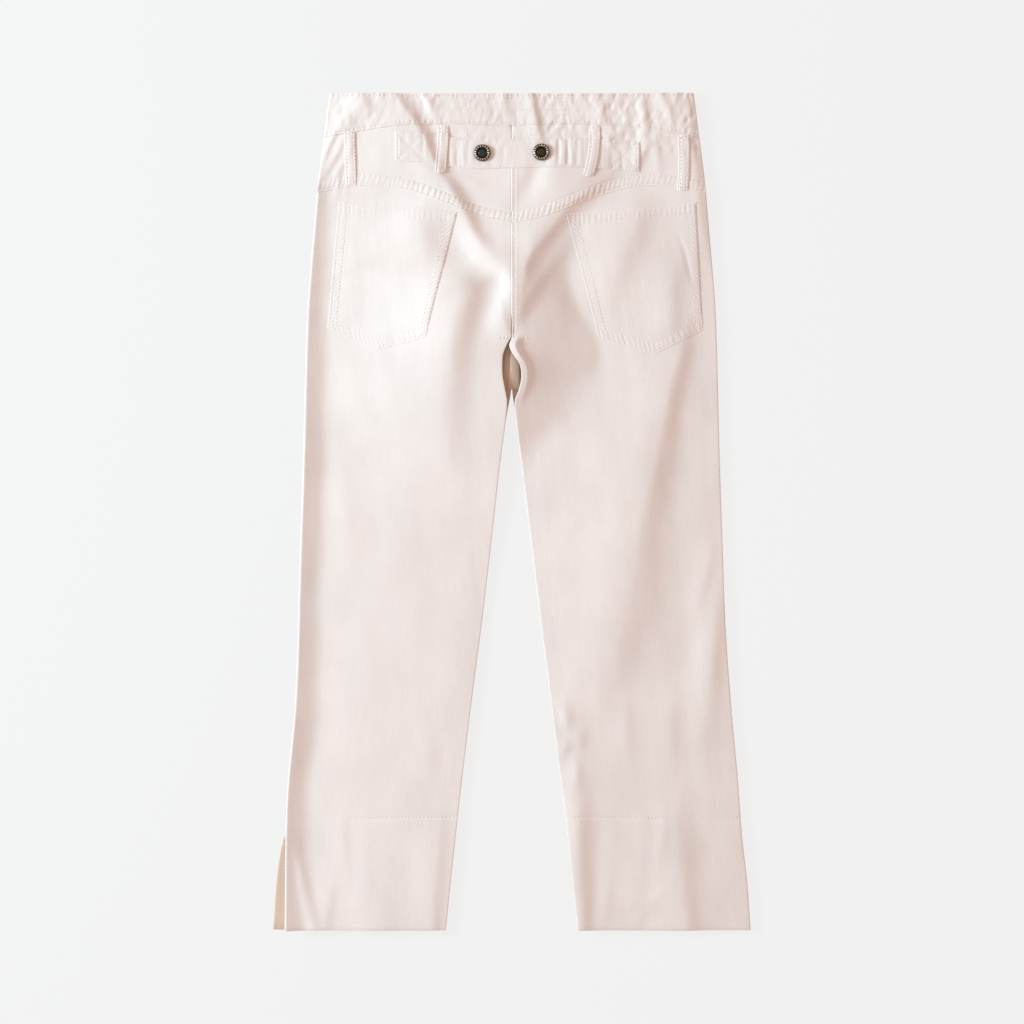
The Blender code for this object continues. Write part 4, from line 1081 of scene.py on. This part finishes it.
def pocket_place(pocket, u, v):
    """A place on a pocket: u from its inner to its outer edge, v down from its mouth. The four
    edges are blended, each by how near it is, and the corners' share is taken off (a Coons
    patch)."""
    edge = pocket_edges(pocket)
    u, v = np.broadcast_arrays(u, v)
    level = edge["top"](u) * (1 - v)[..., None] + edge["bottom"](u) * v[..., None]
    upright = edge["inner"](v) * (1 - u)[..., None] + edge["outer"](v) * u[..., None]
    ends = ([edge["top"](np.float64(s)) for s in (0, 1)],
            [edge["bottom"](np.float64(s)) for s in (0, 1)])
    corner = (ends[0][0] * ((1 - u) * (1 - v))[..., None] + ends[0][1] * (u * (1 - v))[..., None]
              + ends[1][0] * ((1 - u) * v)[..., None] + ends[1][1] * (u * v)[..., None])
    return level + upright - corner


def pocket_distance(pocket, x, height):
    """Distance inwards from each edge of a pocket: its mouth, its inner and outer edges, and the
    two halves of its bottom."""
    turn = -pocket.side
    lines = (
        (pocket.outer_top, pocket.inner_top),
        (pocket.inner_top, pocket.inner_bottom),
        (pocket.outer_bottom, pocket.outer_top),
        (pocket.inner_bottom, pocket.tip),
        (pocket.tip, pocket.outer_bottom),
    )
    return [turn * line_distance(start, end, x, height) for start, end in lines]


def pocket_top(pocket, x, height):
    """A pocket's outer side: the back panel under it, one layer up, with the mouth's turned hem,
    the stitch troughs along the edges and the puckers between them."""
    mouth, inner, outer, low_in, low_out = pocket_distance(pocket, x, height)
    low = np.minimum(low_in, low_out)
    right, left = (inner, outer) if pocket.side < 0 else (outer, inner)
    steep, gentle = np.minimum(mouth, right), np.minimum(low, left)
    border = np.minimum(smooth(steep / 2.0), smooth(gentle / 22.0))
    top = cloth_top(x, height, pocket.side) + (GAP + size("pocket_wall")) * (0.15 + 0.85 * border)
    first, second = POCKET_ROWS
    for distance, along, near, shift, slant in (
        (mouth, x, second + MOUTH_EXTRA, 0.0, 0.0),
        (inner, height, second, 1.0, 1.0),
        (outer, height, second, 2.0, -1.0),
        (low, x, second, 3.0, 0.3),
    ):
        top = top + 0.3 * groove(distance - first) + 0.2 * groove(distance - near)
        strength = 0.8 if distance is right else 0.4 if pocket.side < 0 else 0.7
        top = top + strength * puckers(along, distance - 1.0, near, shift, slant)
        top = top + 0.1 * smooth((near + 3 - distance) / 5.0)
    return top


def box_troughs(x, height):
    """The troughs of a strap's boxed and crossed stitching, at both ends of the tab."""
    x, height = np.broadcast_arrays(x, height)
    sunk = 0
    for left, right in TAB_BOXES:
        middle = float(tab_line((left + right) / 2))
        half = TAB_WIDTH / 2 - BOX_ROW
        low, high, near, far = middle - half, middle + half, left + BOX_ROW, right - BOX_ROW
        inside = smooth(np.minimum(x - left, right - x) / 2)
        cross = (((near, low), (far, high)), ((near, high), (far, low)))
        lines = [np.abs(x - near), np.abs(x - far)]
        lines += [np.abs(line_distance(*pair, x, height)) for pair in cross]
        sunk = sunk - 0.42 * inside * bell(np.min(lines, axis=0), 1.3)
    return sunk


def tab_surface(x, height):
    """The tab's outer side: it follows the yokes, a pressed layer up, lower towards its edges, with
    upright wrinkles where it is drawn up and stitch troughs along its edges and in its boxes."""
    edge = TAB_WIDTH / 2 - np.abs(height - tab_line(x))
    border = np.minimum(edge, np.minimum(x - TAB_LINE[0].x, TAB_LINE[-1].x - x))
    drawn = 0.1 + 0.34 * bell(x + 54, 8) + 0.24 * bell(x - 57, 15)
    wrinkle = drawn * gather_waves(1.1 * x + 40, 0.6 * height, 0.2) * smooth(edge / 4)
    top = back_top(x, height) + GAP + size("strap_wall") * (0.5 + 0.5 * smooth(border / 1.8))
    top = top + wrinkle + 0.7 * groove(edge - TAB_ROW) + 0.25 * puckers(x, edge - 1, 3.0)
    return top + box_troughs(x, height)


def loop_base(x, height):
    """What a belt loop lies on: the back layer, and the tab where it passes under."""
    beside = np.abs(height - tab_line(x)) - TAB_WIDTH / 2
    ends = np.minimum(x - TAB_LINE[0].x, TAB_LINE[-1].x - x)
    over = smooth((3.5 - beside) / 4.5) * smooth((ends + 4) / 4)
    return back_top(x, height) + over * (GAP + size("strap_wall"))


def loop_grid(loop):
    """Grid of a belt loop: rows from its upper to its lower end, columns across it."""
    share = clustered(50.0, 1.6, 4.0, 0.6)[:, None]
    across = (clustered(LOOP_WIDTH, 1.2, 2.0, 0.5)[None, :] - 0.5) * (LOOP_WIDTH - 2 * LIP)
    x = loop.x0 + (loop.x1 - loop.x0) * share + 4 * loop.bend * share * (1 - share) + across
    height = loop.h0 + (loop.h1 - loop.h0) * share + 0 * across
    return x, height, share, across


def loop_surface(loop):
    """A belt loop's outer side: it follows what it lies on, evened out along its length, and stands
    out most near its right edge."""
    x, height, share, across = loop_grid(loop)
    level = loop_base(x, height)
    for _ in range(4):
        padded = np.concatenate([level[:1], level, level[-1:]])
        level = (padded[:-2] + 2 * padded[1:-1] + padded[2:]) / 4
    half = LOOP_WIDTH / 2 - LIP
    left, right = smooth((half + across) / 3.5), smooth((half - across) / 1.2)
    stand = GAP + size("strap_wall") * (0.35 + 0.65 * left) * (0.7 + 0.3 * right)
    edge = half - np.abs(across)
    pucker = 0.7 * puckers(height, edge, 4.0, 0.5, 0.5)
    tack = smooth((3.0 - np.minimum(share, 1 - share) * 50) / 1.5)
    top = level + stand + pucker + 0.8 * groove(edge - LOOP_ROW) - 0.35 * tack
    return x, height, top


class TROUSERS_OT_front_layer(bpy.types.Operator):
    """Builds the hidden front panels and front waistband, flat on the surface"""

    bl_idname = "trousers.front_layer"
    bl_label = "Front layer"

    def execute(self, context):
        # The front layer shows only in the crotch and the vents, and its finish carries painted
        # shade there.
        for name, side in SIDES:
            for piece, grid, top in (
                    ("front", front_grid(side), front_top),
                    ("waistband_front", front_band_grid(side), lambda *_: FRONT_WALL)):
                make_cloth(f"{piece}_cloth_{name}", f"{piece}_{name}", grid, top, FRONT_WALL,
                           finish="cotton_twill_inside", flat_below=0.02)
        left, right = -4.5, 9.0  # edges of the strip over the crotch seam
        across = np.linspace(left, right, 16)[None, :]
        height = np.linspace(FRONT_CROTCH, 640, 60)[:, None]
        x = across + 2.5 * smooth((height - 553) / 5) * smooth((1.5 - across) / 4)
        edge = np.minimum(across - left, right - across)
        make_cloth("front_crotch_seam", None, (x, height + 0 * across),
                   lambda x, height: front_top(x, height) + 0.3 + 0.7 * smooth(edge / 1.5), 0.6,
                   ["front_cloth_right"], finish="cotton_twill_inside")
        return {"FINISHED"}


class TROUSERS_OT_back_legs(bpy.types.Operator):
    """Builds the back legs with their turned-up hems"""

    bl_idname = "trousers.back_legs"
    bl_label = "Back legs"

    def execute(self, context):
        for name, side in SIDES:

            def top(x, height):
                above = height - HEM_DEPTH
                hem_row = 0.5 * groove(above) + 0.35 * puckers(x, above + 4, 7, 4, 0.5)
                return cloth_top(x, height, side) + hem_row

            span = np.linspace(0.02, 0.98, 60)
            inner, outer = back_inner_edge(HEM_DEPTH, side), back_outer_edge(HEM_DEPTH, side)
            rows = [(as_path(inner + (outer - inner) * span, HEM_DEPTH), top)]
            if side < 0:
                height = np.linspace(VENT_TOP + 2, 2, 12)
                rows.append((as_path(back_outer_edge(height, side) + VENT_ROW * side, height), top))
            make_cloth(f"back_leg_{name}", f"back_{name}", panel_grid(side), top, size("wall"),
                       ["front_cloth_" + name], f"hem_stitches_{name}", rows)
        return {"FINISHED"}


class TROUSERS_OT_yokes(bpy.types.Operator):
    """Builds the two halves of the back yoke"""

    bl_idname = "trousers.yokes"
    bl_label = "Back yoke"

    def execute(self, context):
        for name, side in SIDES:
            make_cloth(f"yoke_cloth_{name}", f"yoke_{name}", yoke_grid(side), yoke_top,
                       size("wall"), [f"front_cloth_{name}"])
        return {"FINISHED"}


class TROUSERS_OT_waistband(bpy.types.Operator):
    """Builds the gathered back waistband and the stitching along its edges"""

    bl_idname = "trousers.waistband"
    bl_label = "Back waistband"

    def execute(self, context):
        x = np.linspace(-186, 186, 300)
        lower = as_path(x, band_seam(np.abs(x)) + BAND_ROW)
        upper = as_path(np.linspace(-181, 181, 300), LENGTH - BAND_ROW)
        left, right, low, high = BAND_FRAME
        ring = [(left, low), (right, low), (right, high), (left, high), (left, low)]
        rows = [(path, band_top) for path in (lower, upper, ring)]
        left, right, low, high = YOKE_FRAME
        rows += [(((edge, low), (edge, high)), yoke_top) for edge in (left, right)]
        rows.append((((left, low), (right, low)), yoke_top))
        make_cloth("waistband_cloth", "waistband_back", band_grid(), band_top, size("band_wall"),
                   ["waistband_front_cloth_left"], "waistband_stitches", rows)
        return {"FINISHED"}


def felled_top(x, height):
    """The felled seam below the yoke: it rises out of the yoke, puckers between its two rows of
    stitches and ends in a step down to the leg."""
    across = yoke_seam(np.abs(x)) - height
    width = size("seam_width")
    lift = (size("seam_rise") + 0.4) * smooth((across + STRIP_EDGE) / 3.0) - 0.4
    troughs = groove(across - FELLED_ROWS[0]) + groove(across - width + FELLED_ROWS[1])
    drawn = 0.9 + 0.7 * bell(x + 72, 22) + 0.6 * bell(x - 48, 46)
    pucker = drawn * puckers(x, across, width, 0.0, 0.25)
    return back_top(x, height) + lift + pucker + troughs


def centre_top(x, height):
    """The felled centre back seam: a sharp ridge at the seam itself, a row of stitches beside it,
    and past that it sinks into the right panel."""
    width = size("seam_width")
    ridge = 0.3 * bell(x - 0.5, 1.0) + 0.5 * puckers(height, x, 5.0, 2.0, 0.6)
    lift = -0.3 + 0.42 * smooth((x + STRIP_START) / 1.3) - 0.4 * smooth((x - width + 6.0) / 6.0)
    return back_top(x, height) + lift + ridge + 0.7 * groove(x - CENTRE_ROW)


class TROUSERS_OT_felled_seams(bpy.types.Operator):
    """Builds the felled seams below the yoke"""

    bl_idname = "trousers.felled_seams"
    bl_label = "Felled seams"

    def execute(self, context):
        width = size("seam_width")
        deep = width + STRIP_EDGE
        across = -STRIP_EDGE + clustered(deep, 0.8, 2.0, 0.4)[:, None] * deep
        reach = clustered(188.0, 1.2, 3.0, 0.6)[None, :]
        for name, side in SIDES:
            height = yoke_seam(reach * YOKE_SEAM[-1].across) - across
            x = side * (0.6 + (half_width(height) - LIP - 0.8) * reach)
            spots = side * np.linspace(2.5, 190, 160)
            line = yoke_seam(np.abs(spots))
            rows = [(as_path(spots, line - down), felled_top)
                    for down in (FELLED_ROWS[0], width - FELLED_ROWS[1])]
            make_cloth(f"yoke_seam_{name}", None, (x, yoke_seam(np.abs(x)) - across), felled_top,
                       STRIP_WALL, [f"back_leg_{name}"], f"yoke_seam_stitches_{name}", rows)
        return {"FINISHED"}


class TROUSERS_OT_centre_seam(bpy.types.Operator):
    """Builds the felled seam down the centre back"""

    bl_idname = "trousers.centre_seam"
    bl_label = "Centre back seam"

    def execute(self, context):
        width = size("seam_width")
        broad = width + STRIP_START
        across = -STRIP_START + clustered(broad, 0.8, 2.0, 0.35)[None, :] * broad
        middle = YOKE_SEAM[0].height
        for name, low, high in (("lower", BACK_CROTCH + 0.5, middle - width + 0.5),
                                ("upper", middle + 1, 768.0)):
            height = np.linspace(low, high, round((high - low) / 1.3))[:, None] + 0 * across
            rows = [(as_path(CENTRE_ROW, np.linspace(low + 1, high - 1, 60)), centre_top)]
            if name == "lower":
                rows += [(((a, h), (b, h)), back_top) for a, b in BARS for h in BAR_HEIGHTS]
            make_cloth(f"centre_seam_{name}", None, (across + 0 * height, height), centre_top,
                       STRIP_WALL, ["back_leg_right"], f"centre_seam_stitches_{name}", rows)
        return {"FINISHED"}


class TROUSERS_OT_pockets(bpy.types.Operator):
    """Builds the two patch pockets with their double stitching"""

    bl_idname = "trousers.pockets"
    bl_label = "Back pockets"

    def execute(self, context):
        broad, deep = 120.0, 135.0  # a pocket's usual width and depth
        u = clustered(broad, 1.2, 13.0, 0.8)[None, :]
        v = clustered(deep, 1.2, 13.0, 0.8)[:, None]
        steps = np.linspace(0, 1, 80)
        for pocket in POCKETS:
            top = partial(pocket_top, pocket)
            rows = []
            for inset in POCKET_ROWS:
                a, b = inset / broad, inset / deep
                low = b * 1.25  # the bottom is bent, and its rows lie a little further in
                mouth = inset + (MOUTH_EXTRA if inset == POCKET_ROWS[-1] else 0)
                down, across = b + (1 - b - low) * steps, a + (1 - 2 * a) * steps
                for line in ((a, down), (1 - a, down), (across, 1 - low), (across, mouth / deep)):
                    rows.append((pocket_place(pocket, *line), top))
            name, place = pocket.name, pocket_place(pocket, u, v)
            make_cloth(f"pocket_cloth_{name}", f"pocket_{name}", (place[..., 0], place[..., 1]),
                       top, size("pocket_wall"), [f"back_leg_{name}"],
                       f"pocket_stitches_{name}", rows, -0.05, lip_reach=0.2)
        return {"FINISHED"}


class TROUSERS_OT_tab(bpy.types.Operator):
    """Builds the tab across the yokes, with its boxed and crossed ends"""

    bl_idname = "trousers.tab"
    bl_label = "Tab"

    def execute(self, context):
        span = clustered(244.0, 1.4, 5.0, 0.6)[None, :]
        across = (clustered(TAB_WIDTH, 1.3, 4.0, 0.5)[:, None] - 0.5) * (TAB_WIDTH - 2 * LIP)
        start, end = TAB_LINE[0].x, TAB_LINE[-1].x
        x = start + LIP + (end - start - 2 * LIP) * span + 0 * across
        half = TAB_WIDTH / 2 - TAB_ROW
        line = np.linspace(start + TAB_ROW, end - TAB_ROW, 160)
        rows = [(as_path(line, tab_line(line) + offset), tab_surface) for offset in (-half, half)]
        for left, right in TAB_BOXES:
            middle = float(tab_line((left + right) / 2))
            low, high, near, far = middle - half, middle + half, left + TAB_ROW, right - TAB_ROW
            for ends in (((near, low), (near, high)), ((far, low), (far, high)),
                         ((near, low), (far, high)), ((near, high), (far, low))):
                rows.append((np.linspace(*ends, 20), tab_surface))
        make_cloth("tab_cloth", "tab", (x, tab_line(x) + across), tab_surface, size("strap_wall"),
                   ["yoke_cloth_left", "yoke_cloth_right"], "tab_stitches", rows, 0.1)
        return {"FINISHED"}


class TROUSERS_OT_belt_loops(bpy.types.Operator):
    """Builds the belt loops, with stitched edges and bar tacks"""

    bl_idname = "trousers.belt_loops"
    bl_label = "Belt loops"

    def execute(self, context):
        for loop in LOOPS:
            x, height, top = loop_surface(loop)
            middle = top.shape[1] // 2

            def surface(_x, at_height):
                return np.interp(at_height, height[::-1, 0], top[::-1, middle]) - 0.1

            edges = [(slice(2, -2), column) for column in (3, top.shape[1] - 4)]
            tacks = [(row, slice(2, -2)) for row in (2, 3, 4, -5, -4, -3)]
            rows = [(as_path(x[part], height[part]), surface) for part in edges + tacks]
            under = "yoke_cloth_left" if loop.x0 < 0 else "yoke_cloth_right"
            make_cloth(f"loop_cloth_{loop.name}", f"belt_loop_{loop.name}", (x, height),
                       lambda *_: top, size("strap_wall"), [under], f"loop_stitches_{loop.name}",
                       rows, -0.05)
        return {"FINISHED"}


class TROUSERS_OT_snap_caps(bpy.types.Operator):
    """Builds the two metal caps on the tab, with a ring of dots round each rim"""

    bl_idname = "trousers.snap_caps"
    bl_label = "Snap caps"

    def execute(self, context):
        fine = np.linspace(0, len(CAP_PROFILE) - 1, 66)
        order = np.arange(len(CAP_PROFILE))
        radius, z, worn, middle = (np.interp(fine, order, column) for column in zip(*CAP_PROFILE))
        turn = np.linspace(0, 2 * np.pi, 132, endpoint=False)[None, :]
        ring = bell(radius - DOT_RING, DOT_WIDTH)[:, None]
        dots = smooth(0.5 + 1.3 * np.cos(turn * CAP_DOTS)) * ring
        spots = np.linspace(-0.7, 0.7, 9)[None, :] * CAP_RADIUS
        for name, x, height in CAPS:
            base = tab_surface(x + spots, height + spots.T).max() + GAP
            grid = np.stack([radius[:, None] * np.cos(turn), radius[:, None] * np.sin(turn),
                             z[:, None] + DOT_RISE * dots], -1)
            grid[0] = (0, 0, z[0])
            lift = np.array([x, height + CAD_LOW.y / MM, base])
            rows, columns = grid.shape[:2]
            index = np.arange(rows * columns).reshape(rows, columns)
            right = np.roll(index, -1, axis=1)
            quads = np.stack([index[:-1], index[1:], right[1:], right[:-1]], -1)
            points = grid.reshape(-1, 3) + lift
            faces = quads[1:].reshape(-1, 4).tolist()
            faces += [(0, a, b) for a, b in zip(index[1].tolist(), right[1].tolist())]
            faces.append(index[-1, ::-1].tolist())
            wear = np.broadcast_to(worn[:, None], dots.shape) + dots
            made = new_object(f"cap_{name}", points, faces, f"bronze_cap_{name}")
            disc = np.broadcast_to(middle[:, None], dots.shape)
            for label, values in (("worn", wear), ("middle", disc)):
                layer = made.data.attributes.new(label, "FLOAT", "POINT")
                layer.data.foreach_set("value", np.clip(values, 0, 1).astype(np.float32).ravel())
            settle(made, [f"snap_{name}"])
        return {"FINISHED"}


class TROUSERS_OT_stage(bpy.types.Operator):
    """Builds the floor, the lights and the camera"""

    bl_idname = "trousers.stage"
    bl_label = "Stage"

    def execute(self, context):
        studio = context.scene.trouser_studio
        made, _, shader = new_material("studio_floor")
        put(shader, Base_Color=colour("floor"), Roughness=0.9, Specular_IOR_Level=0.1,
            Emission_Color=(1, 1, 1, 1), Emission_Strength=studio.floor_glow)
        mesh = bpy.data.meshes.new("floor")
        reach = 6.0  # half the floor's width, in metres
        corners = [(-reach, -reach, 0), (reach, -reach, 0), (reach, reach, 0), (-reach, reach, 0)]
        mesh.from_pydata(corners, [], [(0, 1, 2, 3)])
        mesh.materials.append(made)
        floor = bpy.data.objects.new("floor", mesh)
        floor.location.z = -GAP * MM
        context.scene.collection.objects.link(floor)
        self.key_light(context, studio.key, colour("key"))
        world = bpy.data.worlds.new("studio_room")
        world.use_nodes = True
        put(world.node_tree.nodes["Background"], Color=colour("room"), Strength=studio.room)
        context.scene.world = world
        context.scene.view_settings.view_transform = "Standard"
        self.camera(context, studio.lens)
        return {"FINISHED"}

    def key_light(self, context, power, tint):
        """A low square lamp on the left that faces the middle of the garment, in metres."""
        data = bpy.data.lights.new("key_light", "AREA")
        data.shape = "SQUARE"
        data.size = 0.65
        data.energy = power
        data.color = tint[:3]
        lamp = bpy.data.objects.new("key_light", data)
        lamp.location = (-2.05, 0.45, 1.0)
        lamp.rotation_mode = "QUATERNION"
        lamp.rotation_quaternion = lamp.location.to_track_quat("Z", "Y")
        context.scene.collection.objects.link(lamp)

    def camera(self, context, lens):
        """Straight above the garment, at the height from which the picture is filled by its width
        at the level of the cloth."""
        data = bpy.data.cameras.new("camera")
        data.lens = lens
        data.sensor_width = 36.0
        camera = bpy.data.objects.new("camera", data)
        picture, cloth = 1.024, 0.006  # width of the picture and level of the cloth, in metres
        camera.location = (0.00025, -0.00025, picture * lens / data.sensor_width + cloth)
        data.clip_start, data.clip_end = 0.01, 50.0
        context.scene.collection.objects.link(camera)
        context.scene.camera = camera


class TROUSERS_PT_panel(bpy.types.Panel):
    """Sizes, colours and steps of the trousers"""

    bl_idname = "TROUSERS_PT_panel"
    bl_label = "Capri trousers"
    bl_space_type = "VIEW_3D"
    bl_region_type = "UI"
    bl_category = "Trousers"

    def draw(self, context):
        scene = context.scene
        for group in (scene.trouser_sizes, scene.trouser_colours, scene.trouser_studio):
            column = self.layout.column(align=True)
            for key in group.__annotations__:
                column.prop(group, key)
        for operator in OPERATORS:
            self.layout.operator(operator.bl_idname)


OPERATORS = (
    TROUSERS_OT_front_layer,
    TROUSERS_OT_back_legs,
    TROUSERS_OT_yokes,
    TROUSERS_OT_waistband,
    TROUSERS_OT_felled_seams,
    TROUSERS_OT_centre_seam,
    TROUSERS_OT_pockets,
    TROUSERS_OT_tab,
    TROUSERS_OT_belt_loops,
    TROUSERS_OT_snap_caps,
    TROUSERS_OT_stage,
)
GROUPS = {
    "trouser_sizes": TrouserSizes,
    "trouser_colours": TrouserColours,
    "trouser_studio": StudioSettings,
}


def register():
    for kind in (*GROUPS.values(), *OPERATORS, TROUSERS_PT_panel):
        bpy.utils.register_class(kind)
    for name, group in GROUPS.items():
        setattr(bpy.types.Scene, name, PointerProperty(type=group))


def unregister():
    for name in GROUPS:
        delattr(bpy.types.Scene, name)
    for kind in reversed((*GROUPS.values(), *OPERATORS, TROUSERS_PT_panel)):
        bpy.utils.unregister_class(kind)


def main():
    register()
    for operator in OPERATORS:
        group, name = operator.bl_idname.split(".")
        getattr(getattr(bpy.ops, group), name)()


if __name__ == "__main__":
    main()
